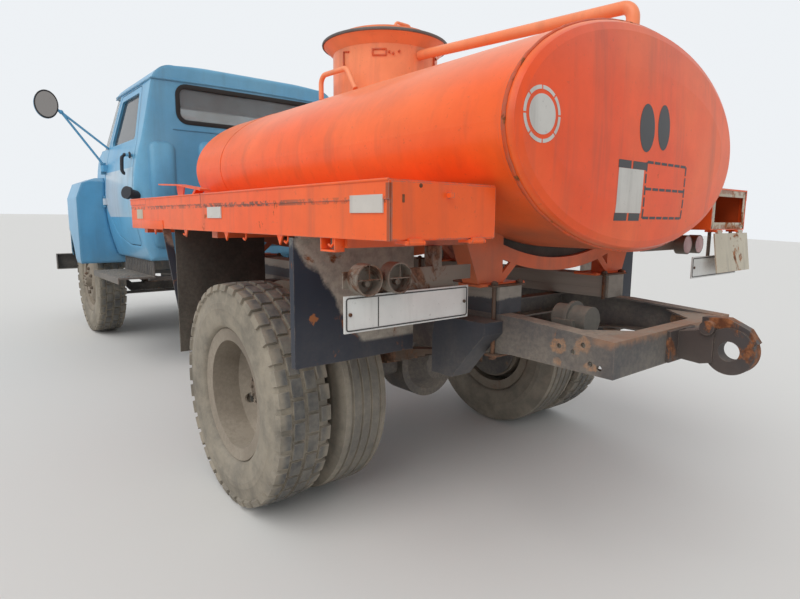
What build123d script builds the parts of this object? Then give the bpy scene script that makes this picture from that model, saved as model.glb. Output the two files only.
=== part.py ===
from build123d import *
from math import atan, cos, degrees, hypot, pi, radians, sin, sqrt
import os

# Bonneted two-axle tanker truck, in millimetres.
# X points forward, Y to the truck's left, Z up. The pieces are drawn from the point on the
# ground midway between the rear wheels. Those on the frame are drawn level and are then
# turned about the rear axle, because the empty truck stands nose-down. Last of all, the
# origin goes to the ground below the middle of the truck's length.

# Stance and wheels
wheelbase = 3700
nose_drop = 160          # how much lower the front wheels sit against the frame
tyre_radius = 486
tyre_width = 235
bead_radius = 254
flange_radius = 290
rim_step = 36            # how far the rim's flange lies inside the tyre's side
front_wheel_y = 815
twin_outer_y = 978
twin_spacing = 283
rake = degrees(atan(nose_drop / wheelbase))
front_axle_x = hypot(wheelbase, nose_drop)      # after the turn, on the level ground
axle_z = tyre_radius
twin_inner_y = twin_outer_y - twin_spacing

# Clearances
moving_gap = 6           # between a moving panel and what is fixed
fit_gap = 0.4            # between a pin or spindle and its bore
seat_gap = 0.3           # between pieces that lie on each other

# Frame
rail_outer_y = 432.5
rail_flange = 66
rail_web = 7
rail_top = 900
cross_depth = 90
rear_cross_x = -1400
rear_cross_z = (757, 875)        # underside, top
rail_front_x = 4470

# Tank, neck and side cases
tank_rear_x = -1242
tank_front_x = 1300
tank_half_width = 753
tank_half_height = 389
tank_z = 1524
neck_x = 300
neck_radius = 287
neck_rim_radius = 344
neck_rim_z = tank_z + tank_half_height + 262
neck_top_z = neck_rim_z - 53
manhole_radius = 230
lid_pin_x = neck_x + 310
lid_pin_z = neck_rim_z + 37
case_front_x = 1320
case_outer_y = tank_half_width + 347
case_sheet = 4
case_hinge_y = (case_outer_y - 320, case_outer_y - 80)
# The right-hand case (-1) is deeper and longer than the left-hand one (1)
case_rear_x = {1: -1136, -1: -1190}
case_inner_y = {1: tank_half_width - 53, -1: tank_half_width - 40}
case_low_z = {1: 1187, -1: 1205}
case_high_z = {1: 1343, -1: 1392}
case_pin_out = 8                 # the lids' pins lie behind and below the case's rear edge
case_pin_drop = 6
lid_hang = 172                   # how far the right-hand lid hangs open, in degrees

# Timber beams between the rails and the tank
beam_width = 125
beam_height = 100
beam_rear_x = -940
beam_front_x = 1420
beam_top = rail_top + beam_height

# Saddles that carry the tank and, on arms, the cases
saddle_x = (-853, 150, 1190)
saddle_half = 40
saddle_sheet = 8
post_inner_y = 365
post_outer_y = 491
post_lean = 0.4286               # how far the post's outer edge moves out for each unit of height
band_radius = 1134.5
band_depth = 52
band_z = tank_z - tank_half_height - 43 + band_radius     # centre of the band's curve

# Cab
cab_rear_x = 2000
cab_front_x = 3330
cab_wall = 45
cab_low_z = 930
cab_mid_half = 886
cab_belt_half = 835
cab_belt_z = 1785
cab_rail_half = 752
cab_rail_z = 2205
cab_roof_z = 2336
floor_z = 1050
door_hinge = (2948, 898)         # x, y of the door's pins
door_hinge_z = (1370, 1640)
door_rebate = (12, -5)           # x, z of the step inside the doors' rear and upper edges

# Bonnet, wings and front
bonnet_rear_x = 3345
bonnet_pin = (3337.5, 1730)      # x, z
bonnet_front_x = 4400
bonnet_rear_half = 612
bonnet_front_half = 500
bonnet_straight = 300            # length behind which the bonnet's sides stay parallel
bonnet_gap = 10                  # beside the wings, which the lifting bonnet passes
bonnet_depth = 30                # how far the bonnet's sides reach below the wings' top
wing_outer_y = 1100
wing_rear_x = 2972
wing_taper_x = 3380              # ahead of this the wings' outer sides draw in
wing_taper = 0.168
headlamp_y = 790
wing_top_z = 1575
panel_sheet = 10
arch_radius = 585
front_panel_x = 4393
front_panel_top = 1492
bonnet_lip_x = 4345              # behind this the sides reach down past the front panel's top
wing_front_x = front_panel_x - seat_gap

# Steering
kingpin_y = 720
steer_arm = 150
tie_rod_drop = 95
axle_fall = 120                  # how far the front beam's middle lies below the wheels' axis
pad_rise = 84                    # from the beam's underside to the springs' seats


def ring_points(count, radius, start=0.0):
    """Points (a, b) evenly spaced on a circle."""
    step = 2 * pi / count
    return [(radius * cos(start + i * step), radius * sin(start + i * step)) for i in range(count)]


def box(x0, x1, y0, y1, z0, z1):
    return Pos((x0 + x1) / 2, (y0 + y1) / 2, (z0 + z1) / 2) * Box(abs(x1 - x0), abs(y1 - y0), abs(z1 - z0))


def prism(axis, points, low, high):
    """Solid of a polygon that lies across an axis, from low to high along it."""
    place = {"X": lambda a, b: (low, a, b), "Y": lambda a, b: (a, low, b), "Z": lambda a, b: (a, b, low)}[axis]
    way = {"X": (1, 0, 0), "Y": (0, 1, 0), "Z": (0, 0, 1)}[axis]
    face = Face(Wire.make_polygon([place(a, b) for a, b in points]))
    return extrude(face, amount=high - low, dir=way)


def along(axis, sketch, low, high):
    """Solid of a sketch drawn in X and Y and stood across an axis, from low to high."""
    plane = {"X": Plane((low, 0, 0), x_dir=(0, 1, 0), z_dir=(1, 0, 0)),
             "Y": Plane((0, low, 0), x_dir=(1, 0, 0), z_dir=(0, -1, 0)),
             "Z": Plane((0, 0, low))}[axis]
    way = {"X": (1, 0, 0), "Y": (0, 1, 0), "Z": (0, 0, 1)}[axis]
    return extrude(plane * sketch, amount=high - low, dir=way)


def rod(start, end, radius):
    """Round bar between two points."""
    way = Vector(*end) - Vector(*start)
    plane = Plane(origin=start, z_dir=way)
    return plane * Cylinder(radius, way.length, align=(Align.CENTER, Align.CENTER, Align.MIN))


def pipe(points, bend, radius):
    """Round bar that follows straight runs joined by arcs."""
    path = FilletPolyline(*points, radius=bend)
    start = Plane(origin=path @ 0, z_dir=path % 0)
    return sweep(start * Circle(radius), path=path)


def lathe(profile, x, y, z, side=1):
    """Turned piece about an axle line along Y; the profile is (distance out, radius)."""
    points = [(x + radius, y + side * out, z) for out, radius in profile]
    face = Face(Wire.make_polygon(points))
    return revolve(face, Axis((x, y, z), (0, 1, 0)), 360)


def rounded(points, radius):
    """Polygon sketch with rounded corners."""
    return make_face(FilletPolyline(*points, radius=radius, close=True))


def pin_ears(x, y, z, along_axis, reach, spread, radius, ear):
    """Pin held by two ears; returns the bare pin with ears whose outer faces lie at the spread."""
    if along_axis == "Z":
        pin = rod((x, y, z - spread), (x, y, z + spread), radius)
        for way in (1, -1):
            pin += rod((x, y, z + way * reach), (x, y, z + way * spread), ear)
    else:
        pin = rod((x, y - spread, z), (x, y + spread, z), radius)
        for way in (1, -1):
            pin += rod((x, y + way * reach, z), (x, y + way * spread, z), ear)
    return pin


def mirrored(piece):
    return mirror(piece, about=Plane.XZ)


def both(piece):
    """The piece on the left and its mirror image on the right."""
    return [piece, mirrored(piece)]


def solids_of(pieces):
    found = []
    for piece in pieces if isinstance(pieces, (list, tuple)) else [pieces]:
        found += piece.solids()
    return found


nodes = {}


def keep(name, pieces, on_frame=True):
    """Store a node's solids; what is drawn on the level frame is turned to the stance."""
    found = solids_of(pieces)
    if on_frame:
        found = [solid.rotate(Axis((0, 0, axle_z), (0, 1, 0)), rake) for solid in found]
    nodes[name] = found


# Frame rails: channel sections, open towards the middle.
# Each row: x, underside z, top z
rail_stations = (
    (rear_cross_x, *rear_cross_z),
    (-1000, 760, rail_top),
    (-560, 712, rail_top),
    (2900, 712, rail_top),
    (3250, 742, rail_top),
    (rail_front_x, 790, rail_top),
)


def rail_outline(inset):
    low = [(x, z0 + inset) for x, z0, z1 in rail_stations]
    high = [(x, z1 - inset) for x, z0, z1 in rail_stations]
    return low + high[::-1]


def frame_rails():
    inner_y = rail_outer_y - rail_flange
    rail = prism("Y", rail_outline(0), inner_y, rail_outer_y)
    rail -= prism("Y", rail_outline(rail_web), inner_y - 1, rail_outer_y - rail_web)
    ladder = rail + mirrored(rail)
    web_y = rail_outer_y - rail_web
    # Each row: x of the web, top z, depth of the crossmember
    cross_rows = (
        (-640, rail_top - 8, cross_depth),
        (720, rail_top - 8, cross_depth),
        (1750, rail_top - 8, 80),
        (4300, rail_top - 8, 80),
    )
    for x, top, depth in cross_rows:
        member = box(x - 30, x + 30, -web_y, web_y, top - depth, top)
        member -= box(x - 31, x + 23, -web_y, web_y, top - depth + 7, top - 7)
        ladder += member
    low, top = rear_cross_z
    rear = box(rear_cross_x, rear_cross_x + 60, -web_y, web_y, low, top)
    rear -= box(rear_cross_x + 8, rear_cross_x + 61, -web_y, web_y, low + 7, top - 7)
    ladder += rear
    # Corner plates on the rear crossmember
    corner_x = rear_cross_x + 52
    corner = prism("Z", [(corner_x, inner_y + 4), (corner_x + 175, inner_y + 4), (corner_x, inner_y - 171)],
                   top - 7, top)
    ladder += corner + mirrored(corner)
    # Bolt holes left in the rear end of the left rail
    for x, z in ((-1202, 830), (-1291, 848), (-1256, 820), (-1320, 792), (-1352, 784)):
        ladder -= rod((x, rail_outer_y - 20, z), (x, rail_outer_y + 5, z), 9)
    return ladder


def tow_hook():
    """Pintle hook on the rear crossmember: a round jaw on cheeks, closed by a latch."""
    z = 821
    face_x = rear_cross_x - seat_gap
    jaw_x = face_x - 172
    hook = box(face_x - 12, face_x, -95, 95, z - 60, z + 50)
    hook += prism("Y", [(face_x - 11, z - 50), (face_x - 11, z + 46), (jaw_x + 84, z + 62), (jaw_x + 46, z + 50),
                        (jaw_x + 46, z - 46), (jaw_x + 84, z - 56)], -34, 34)
    jaw = Pos(jaw_x, z) * (Circle(78) - Circle(33))
    hook += along("Y", jaw, -26, 26)
    hook += prism("Y", [(jaw_x + 92, z + 50), (jaw_x + 92, z + 103), (jaw_x + 12, z + 108), (jaw_x - 53, z + 78),
                        (jaw_x - 80, z + 38), (jaw_x - 68, z + 24), (jaw_x - 28, z + 40), (jaw_x + 12, z + 50)],
                  -20, 20)
    hook += rod((jaw_x + 67, -44, z + 70), (jaw_x + 67, 44, z + 70), 24)
    return hook


def drawn_in(points, inset):
    """Corners of an anticlockwise polygon whose sides have each moved inwards by the inset."""
    moved = []
    count = len(points)
    for i, (x, z) in enumerate(points):
        x0, z0 = points[i - 1]
        x1, z1 = points[(i + 1) % count]
        before = Vector(x - x0, z - z0).normalized()
        after = Vector(x1 - x, z1 - z).normalized()
        turn = before.X * after.Y - before.Y * after.X
        lean = (before.X * after.X + before.Y * after.Y - 1) / turn
        moved.append((x + inset * (lean * before.X - before.Y), z + inset * (before.X + lean * before.Y)))
    return moved


cab_side = ((cab_rear_x, cab_low_z), (3150, cab_low_z), (3150, 1500), (cab_front_x, 1520), (cab_front_x, 1740),
            (3240, cab_belt_z), (2958, 2262), (2560, 2352), (cab_rear_x, 2338))


def cab_form(inset):
    """Outer form of the cab, or the same form drawn in by an inset."""
    low_z = cab_low_z - 20 + inset          # below the side's own lower edge
    mid = cab_mid_half - inset
    belt = cab_belt_half - inset
    head = cab_rail_half - inset
    eaves = (700 - inset, 2285 - inset * 0.7)
    shoulder = (590 - inset * 0.4, cab_roof_z - 18 - inset)
    section = Line((-800 + inset, low_z), (800 - inset, low_z))
    for side in (1, -1):
        section += ThreePointArc((side * (800 - inset), low_z), (side * mid, 1400), (side * belt, cab_belt_z))
        section += Line((side * belt, cab_belt_z), (side * head, cab_rail_z))
        section += ThreePointArc((side * head, cab_rail_z), (side * eaves[0], eaves[1]),
                                 (side * shoulder[0], shoulder[1]))
    section += ThreePointArc(shoulder, (0, cab_roof_z + 12 - inset), (-shoulder[0], shoulder[1]))
    side_face = rounded(drawn_in(cab_side, inset), 30)
    plan_face = Pos((cab_rear_x + cab_front_x) / 2, 0) * RectangleRounded(
        cab_front_x - cab_rear_x - 2 * inset, 1800 - 2 * inset, 150 - inset)
    form = along("Y", side_face, -950, 950)
    form &= along("X", make_face(section), cab_rear_x - 10, cab_front_x + 10)
    form &= along("Z", plan_face, cab_low_z - 10, cab_roof_z + 40)
    return form


door_points = ((2130, 1040), (2130, 1780), (2205, 2190), (2755, 2190), (2945, 1790), (2945, 1330), (2720, 1110),
               (2420, 1040))
door_radii = (45, 45, 45, 45, 45, 120, 160, 200)
pane_points = ((2195, 1810), (2252, 2150), (2728, 2150), (2888, 1810))
pillar_foot = (3000, 1805)
pillar_head = (2812, 2205)
rear_pane = (580, 1930, 2190)


def door_region(grow):
    sketch = rounded(door_points, door_radii)
    if grow:
        sketch = offset(sketch, grow)
    return along("Y", sketch, 560, 960)


def screen_region(shrink):
    (foot_x, foot_z), (head_x, head_z) = pillar_foot, pillar_head
    points = [(foot_x + shrink, foot_z + shrink), (head_x + shrink, head_z - shrink),
              (3400, head_z - shrink), (3400, foot_z + shrink)]
    return prism("Y", points, -950, 950)


outer_form = cab_form(0)
inner_form = cab_form(cab_wall)
cab_walls = outer_form - inner_form - box(cab_rear_x + cab_wall, 3150 - cab_wall, -740, 740, cab_low_z - 1, floor_z)
pane_skin = cab_form(18) - cab_form(24)
cab_skin = cab_form(-seat_gap)


def cab_shell():
    # Floor, and the four mounts that stand on the rails
    floor = box(cab_rear_x + 20, 3130, -790, 790, floor_z - 30, floor_z)
    shell = cab_walls + (floor & outer_form)
    for x in (2200, 3060):
        for y in (-400, 400):
            shell += box(x - 45, x + 45, y - 32, y + 32, rail_top + seat_gap, floor_z - 29)
    # Pins that carry the doors and the bonnet
    x, y = door_hinge
    for z in door_hinge_z:
        knuckles = pin_ears(x, y, z, "Z", 27, 48, 7, 12)
        for way in (1, -1):
            knuckles += box(x, x + 20, y - 30, y + 6, z + way * 27, z + way * 48)
        shell += knuckles + mirrored(knuckles)
    x, z = bonnet_pin
    knuckles = pin_ears(x, 380, z, "Y", 27, 45, 4, 6.5)
    for way in (1, -1):
        knuckles += box(cab_front_x - 8, x, 380 + way * 27, 380 + way * 45, z - 6, z + 6)
    shell += knuckles + mirrored(knuckles)
    # Notch for the gearbox under the toe board
    shell -= box(3150 - cab_wall - 1, 3151, -180, 180, cab_low_z - 1, floor_z - 30)
    opening = door_region(moving_gap)
    shell -= opening
    shell -= mirrored(opening)
    shell -= screen_region(0)
    half, low, high = rear_pane
    hole = Pos(0, (low + high) / 2) * RectangleRounded(2 * half, high - low, 70)
    shell -= along("X", hole, cab_rear_x - 20, cab_rear_x + 90)
    return max(shell.solids(), key=lambda solid: solid.volume)


def door(side):
    region = door_region(0)
    skin = cab_walls & region
    # Rebate inside the rear and upper edges, so that the swinging door clears its pillar
    skin -= cab_form(16) & (region - Pos(door_rebate[0], 0, door_rebate[1]) * region)
    skin -= along("Y", rounded(pane_points, 30), 560, 960)
    x, y = door_hinge
    for z in door_hinge_z:
        skin += rod((x, y, z - 26), (x, y, z + 26), 12) + box(x - 40, x - 3, y - 32, y + 2, z - 26, z + 26)
        skin -= rod((x, y, z - 60), (x, y, z + 60), 7 + fit_gap)
    # The handle's stem and grip
    grip = pipe([(2190, 900, 1690), (2190, 925, 1690), (2215, 925, 1560), (2215, 905, 1560)], 10, 9)
    stem = rod((2190, 840, 1690), (2190, 902, 1690), 11)
    leaf = skin + grip + stem
    return leaf if side > 0 else mirrored(leaf)


def door_glass(side):
    pane = pane_skin & along("Y", offset(rounded(pane_points, 30), -seat_gap), 560, 960)
    return pane if side > 0 else mirrored(pane)


def cab_glass():
    screen = pane_skin & screen_region(seat_gap)
    half, low, high = rear_pane
    size = (2 * (half - seat_gap), high - low - 2 * seat_gap)
    back = along("X", Pos(0, (low + high) / 2) * RectangleRounded(*size, 70), cab_rear_x + 18, cab_rear_x + 24)
    return [screen, back]


# Upper edge of the wings beside the bonnet, from the cab to the front panel: x, z
wing_crest = ((bonnet_rear_x, wing_top_z), (3650, wing_top_z), (4150, 1520), (4330, 1473))


def wing_form(inset, open_low=0):
    side = [(wing_rear_x + inset, 860 - open_low), (wing_rear_x + inset, wing_top_z - 40 - inset),
            (wing_rear_x + 60, wing_top_z - inset), (3650, wing_top_z - inset), (4150, 1520 - inset),
            (wing_front_x - inset, 1455 - inset), (wing_front_x - inset, 860 - open_low)]
    section = [(400, 700), (wing_outer_y - 35 - inset, 700), (wing_outer_y - inset, 900),
               (wing_outer_y - inset, 1400), (wing_outer_y - 45 - inset, 1520 - inset * 0.6),
               (wing_outer_y - 150, wing_top_z - 12 - inset), (400, wing_top_z + 30 - inset)]
    outer = Face(Wire.make_polygon([(wing_taper_x, y, z) for y, z in section]))
    drawn = Vector(1, -wing_taper, 0) * (front_panel_x + 20 - wing_taper_x)
    front = extrude(outer, amount=drawn.length, dir=drawn)
    return prism("Y", side, 150, 1150) & (prism("X", section, wing_rear_x - 20, wing_taper_x) + front)


def bonnet_plan(grow):
    """Left-hand edge of the bonnet seen from above, from the cab's side forward."""
    taper = (bonnet_rear_half - bonnet_front_half) / (bonnet_front_x - bonnet_rear_x - bonnet_straight)
    end_x = front_panel_x + 50
    end_half = bonnet_front_half - taper * (end_x - bonnet_front_x)
    return [(wing_rear_x - 50, bonnet_rear_half + grow), (bonnet_rear_x + bonnet_straight, bonnet_rear_half + grow),
            (end_x, end_half + grow)]


def wing():
    shell = wing_form(0) - wing_form(panel_sheet, 60)
    inner = bonnet_plan(bonnet_gap)
    shell -= prism("Z", [(wing_rear_x - 50, 300)] + inner + [(front_panel_x + 50, 300)], 600, 1700)
    # Inner apron from the wing's top down to above the wheel's path
    apron = prism("Z", inner + bonnet_plan(bonnet_gap + panel_sheet)[::-1], 1240, wing_top_z)
    shell += apron & wing_form(0)
    # The wing's front is closed by the front panel
    front_y = wing_outer_y - wing_taper * (wing_front_x - wing_taper_x)
    shell -= box(wing_front_x - panel_sheet - 1, wing_front_x + 20, 150, front_y - 30, 600, 1400)
    shell -= rod((wheelbase, 300, axle_z + nose_drop), (wheelbase, 1200, axle_z + nose_drop), arch_radius)
    # Room beside the cab's side
    shell -= cab_skin
    return max(shell.solids(), key=lambda solid: solid.volume)


def bonnet():
    def form(inset, open_low):
        low = [(x, z - bonnet_depth - open_low) for x, z in wing_crest]
        lip_z = front_panel_top + moving_gap + inset
        side = low + [(bonnet_lip_x - inset, lip_z), (bonnet_front_x - inset, lip_z),
                      (bonnet_front_x - inset, 1560 - inset), (4300, 1640 - inset), (3900, 1700 - inset),
                      (bonnet_rear_x, 1738 - inset)]
        section = [(-700, 1400), (-700, 1610 - inset), (-560, 1690 - inset), (-200, 1728 - inset),
                   (0, 1740 - inset), (200, 1728 - inset), (560, 1690 - inset), (700, 1610 - inset), (700, 1400)]
        edge = bonnet_plan(-inset)
        plan = edge + [(x, -y) for x, y in edge[::-1]]
        lid = prism("Y", side, -700, 700) & prism("X", section, bonnet_rear_x, bonnet_front_x)
        return lid & prism("Z", plan, 1300, 1800)
    lid = form(0, 0) - form(panel_sheet, 60)
    x, z = bonnet_pin
    leaf = rod((x, 354, z), (x, 406, z), 6.5) + box(x, x + 60, 354, 406, z - 6.5, z - 1)
    leaf += box(x + 20, x + 60, 354, 406, z - 30, z - 4)
    leaf -= rod((x, 350, z), (x, 410, z), 4 + fit_gap)
    return lid + leaf + mirrored(leaf)


def front_panel():
    x0 = front_panel_x
    x1 = x0 + 30
    outline = [(-915, 960), (915, 960), (915, 1385), (860, 1440), (500, front_panel_top), (-500, front_panel_top),
               (-860, 1440), (-915, 1385)]
    panel = prism("X", outline, x0, x1)
    panel -= box(x0 - 1, x1 + 1, -560, 560, 1050, 1430)
    for y in range(-510, 511, 85):
        panel += box(x0 + 4, x1 - 4, y - 14, y + 14, 1040, 1440)
    for y in (-headlamp_y, headlamp_y):
        panel -= rod((x0 - 1, y, 1205), (x1 + 1, y, 1205), 104)
    return panel


def headlamps():
    x0 = front_panel_x
    y = headlamp_y
    bowl = rod((x0 - 90, y, 1205), (x0 + 36, y, 1205), 104 - seat_gap)
    bowl -= rod((x0 - 20, y, 1205), (x0 + 37, y, 1205), 92)
    return both(bowl)


second_plate_x = -1168

# Tail lamps by side: x of the cans' open ends, z, and how far out each can stands
tail_lamp_rows = {1: (-962, 1066, (920, 1036)), -1: (-1000, 1126, (931, 1066))}


def lamp_lenses():
    x0 = front_panel_x
    front = rod((x0 + 14, headlamp_y, 1205), (x0 + 24, headlamp_y, 1205), 92)
    x, z, places = tail_lamp_rows[-1]
    rear = [rod((x, -y, z), (x + 4, -y, z), 43) for y in places]
    return both(front) + rear


def front_bumper():
    beam = box(4520, 4580, -1050, 1050, 700, 860) - box(4515, 4573, -1043, 1043, 708, 852)
    for side in (1, -1):
        beam += box(rail_front_x + seat_gap, 4525, side * 380, side * 432, 792, 852)
        hook = pipe([(4560, side * 405, 735), (4650, side * 405, 735), (4650, side * 405, 800),
                     (4585, side * 405, 800)], 30, 11)
        beam += hook
    return beam


def engine_and_radiator():
    block = box(3170, 4060, -270, 270, 760, 1420)
    gearbox = box(2460, 3170 - seat_gap, -150, 150, 780, 990)
    core = box(4170, 4250, -330, 330, 905, 1480)
    for side in (1, -1):
        # Mounts that reach into the rails, and the radiator's feet on top of them
        for x in (3300, 3960):
            block += box(x, x + 70, side * 265, side * (rail_outer_y - rail_web - seat_gap), 805, 850)
        core += box(4180, 4240, side * 320, side * (rail_outer_y - 6), rail_top + seat_gap, 925)
    return [block, gearbox, core]


def front_axle():
    """Forged beam, drawn in the stance: its ends stand at the front wheels' height."""
    x = front_axle_x
    low = axle_z - axle_fall
    web = prism("X", [(-640, axle_z - 28), (-560, low), (560, low), (640, axle_z - 28), (700, axle_z - 28),
                      (700, axle_z + 28), (620, axle_z + 28), (540, low + 75), (-540, low + 75),
                      (-620, axle_z + 28), (-700, axle_z + 28), (-700, axle_z - 28)], x - 32, x + 32)
    beam = web
    for side in (1, -1):
        boss = Pos(x, side * kingpin_y, axle_z) * Cylinder(42, 62)
        pin = Pos(x, side * kingpin_y, axle_z) * Cylinder(15, 190)
        fall = 65 * nose_drop / wheelbase
        pad = prism("Y", [(x - 65, low + 60), (x + 65, low + 60), (x + 65, low + pad_rise - fall),
                          (x - 65, low + pad_rise + fall)], side * 400 - 35, side * 400 + 35)
        beam += boss + pin + pad
    return beam


def knuckle(side):
    """Fork on the kingpin, with the spindle, backing plate and steering arm."""
    x = front_axle_x
    y = kingpin_y
    fork = box(x - 40, x + 40, y - 40, y + 62, axle_z - 88, axle_z + 88)
    fork -= box(x - 60, x + 60, y - 60, y + 45 + fit_gap, axle_z - 36, axle_z + 36)
    fork -= Pos(x, y, axle_z) * Cylinder(15 + fit_gap, 300)
    fork -= Pos(x, y, axle_z) * Cylinder(42 + 3, 72)
    spindle = rod((x, y + 60, axle_z), (x, y + 200, axle_z), 28)
    plate = rod((x, y + 62, axle_z), (x, y + 70, axle_z), 190)
    arm_z = axle_z - tie_rod_drop
    arm = prism("Z", [(x - 30, y - 30), (x + 10, y + 35), (x - steer_arm - 8, y + 12), (x - steer_arm - 22, y),
                      (x - steer_arm, y - 22), (x - steer_arm + 30, y - 26)], arm_z, arm_z + 24)
    arm -= Pos(x - steer_arm, y, arm_z + 12) * Cylinder(9 + fit_gap, 40)
    body = fork + spindle + plate + arm
    body -= Pos(x, y, axle_z) * Cylinder(15 + fit_gap, 300)
    return body if side > 0 else mirrored(body)


def tie_rod():
    x = front_axle_x - steer_arm
    z = axle_z - tie_rod_drop - 20
    bar = rod((x, -kingpin_y, z), (x, kingpin_y, z), 14)
    for side in (1, -1):
        bar += Pos(x, side * kingpin_y, z) * Cylinder(16, 30)
        bar += Pos(x, side * kingpin_y, z + 30) * Cylinder(9, 36)
    return bar


def rear_axle():
    tube = rod((0, -600, axle_z), (0, 600, axle_z), 58)
    banjo = rod((-95, 0, axle_z), (95, 0, axle_z), 190)
    cover = Pos(-95, 0, axle_z) * Rot(0, -90, 0) * Cone(150, 80, 70, align=(Align.CENTER, Align.CENTER, Align.MIN))
    nose = rod((90, 0, axle_z), (330, 0, axle_z + 14), 85)
    flange = rod((325, 0, axle_z + 14), (365, 0, axle_z + 16), 62)
    axle = tube + banjo + cover + nose + flange
    for side in (1, -1):
        axle += box(-75, 75, side * 450, side * 530, axle_z + 40, axle_z + 76)
        axle += rod((0, side * 590, axle_z), (0, side * 600, axle_z), 195)
        axle += rod((0, side * 600, axle_z), (0, side * 850, axle_z), 38)
    start = (370, 0, axle_z + 17)
    end = (2451, 0, 880)
    shaft = rod(start, end, 40)
    return [axle, shaft]


def leaf_strip(spring, high, low, reach, grow=0.0):
    """Curved strip of a leaf spring between two depths below the main leaf's upper side."""
    x, z, half, sag, leaves, y, width = spring
    radius = (half * half + sag * sag) / (2 * sag)
    angle = reach / radius

    def point(r, a):
        return (x + r * sin(a), z + radius - r * cos(a))
    edges = ThreePointArc(point(radius + high, -angle), point(radius + high, 0), point(radius + high, angle))
    edges += Line(point(radius + high, angle), point(radius + low, angle))
    edges += ThreePointArc(point(radius + low, angle), point(radius + low, 0), point(radius + low, -angle))
    edges += Line(point(radius + low, -angle), point(radius + high, -angle))
    return along("Y", make_face(edges), y - width / 2 - grow, y + width / 2 + grow)


def leaf_pack(spring):
    half, leaves = spring[2], spring[4]
    pack = leaf_strip(spring, 0, leaf, half)
    for i in range(1, leaves):
        pack += leaf_strip(spring, leaf * i, leaf * (i + 1), half * (1 - 0.82 * i / leaves))
    return pack


# Each spring: x of its middle, z of the main leaf's upper side there, half its length, how much
# higher its ends stand, leaves, y, width
leaf = 9
rear_spring = (0, axle_z + 76 + 12 * leaf + seat_gap, 740, 75, 12, 490, 65)
front_spring = (wheelbase, axle_z + nose_drop - axle_fall + pad_rise + 7 * leaf + 1, 640, 30, 7, 400, 60)


def leaf_springs():
    return both(leaf_pack(rear_spring)) + both(leaf_pack(front_spring))


def spring_hangers():
    """Cast brackets on the rails, with pockets that hold the springs' ends."""
    pieces = []
    y0 = rail_outer_y + seat_gap
    pocket = leaf_strip(rear_spring, -seat_gap, leaf + seat_gap, rear_spring[2] + 20, seat_gap)
    front = [(690, 715), (690, 800), (720, 880), (850, 880), (850, 800), (785, 715)]
    rear = [(-690, 650), (-690, 800), (-705, 880), (-960, 880), (-960, 835), (-890, 760), (-800, 650)]
    for outline in (front, rear):
        pieces += both(prism("Y", outline, y0, y0 + 100) - pocket)
    pocket = leaf_strip(front_spring, -seat_gap, leaf + seat_gap, front_spring[2] + 20, seat_gap)
    rail_room = prism("Y", rail_outline(-seat_gap), 300, 500)
    for way in (1, -1):
        x = wheelbase + way * 600
        cast = prism("Y", [(x, 672), (x, 800), (x + way * 110, 800), (x + way * 85, 672)], 364, 436)
        pieces += both(cast - pocket - rail_room)
    return pieces


def tank_beams():
    beam = box(beam_rear_x, beam_front_x, rail_outer_y - beam_width, rail_outer_y, rail_top + seat_gap, beam_top)
    return both(beam)


def tank_section(inset):
    return Ellipse(tank_half_width - inset, tank_half_height - inset)


def tank_outer(x0, x1, grow):
    plane = Plane((x0, 0, tank_z), x_dir=(0, 1, 0), z_dir=(1, 0, 0))
    return extrude(plane * Ellipse(tank_half_width + grow, tank_half_height + grow), amount=x1 - x0)


def tank():
    # Each row: distance inwards from the head's middle, how much smaller the section is
    rear_rows = ((-14, 370), (-9, 150), (0, 36), (9, 12), (24, 2), (40, 0))
    front_rows = ((110, 0), (70, 18), (34, 70), (14, 160), (0, 330))
    stations = [(tank_rear_x + depth, inset) for depth, inset in rear_rows]
    stations += [(tank_front_x - depth, inset) for depth, inset in front_rows]
    sections = []
    for x, inset in stations:
        plane = Plane((x, 0, tank_z), x_dir=(0, 1, 0), z_dir=(1, 0, 0))
        sections.append(plane * tank_section(inset))
    body = loft(sections, ruled=True)
    for x in (tank_rear_x + 44, 820):
        body += tank_outer(x, x + 12, 2)
    return body


def neck():
    root_z = 1700                # inside the tank, which cuts the wall's foot
    standing = (Align.CENTER, Align.CENTER, Align.MIN)
    wall = Pos(neck_x, 0, root_z) * Rot(0, 0, 50) * Cylinder(neck_radius, neck_top_z - root_z, align=standing)
    flare = Cone(neck_radius, neck_rim_radius, neck_rim_z - neck_top_z, align=standing)
    body = wall + Pos(neck_x, 0, neck_top_z) * Rot(0, 0, 50) * flare
    body -= Pos(neck_x, 0, 2000) * Cylinder(manhole_radius, 400, align=(Align.CENTER, Align.CENTER, Align.MIN))
    body -= tank_outer(tank_rear_x + 100, tank_front_x - 100, seat_gap)
    collar = Pos(neck_x, 0, neck_rim_z) * Cylinder(manhole_radius + 25, 30,
                                                   align=(Align.CENTER, Align.CENTER, Align.MIN))
    collar -= Pos(neck_x, 0, neck_rim_z - 1) * Cylinder(manhole_radius, 40,
                                                        align=(Align.CENTER, Align.CENTER, Align.MIN))
    ears = pin_ears(lid_pin_x, 0, lid_pin_z, "Y", 50, 70, 7, 14)
    for way in (1, -1):
        ears += box(lid_pin_x - 14, lid_pin_x + 14, way * 50, way * 70, neck_rim_z - 2, lid_pin_z)
    return body + collar + ears


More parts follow.
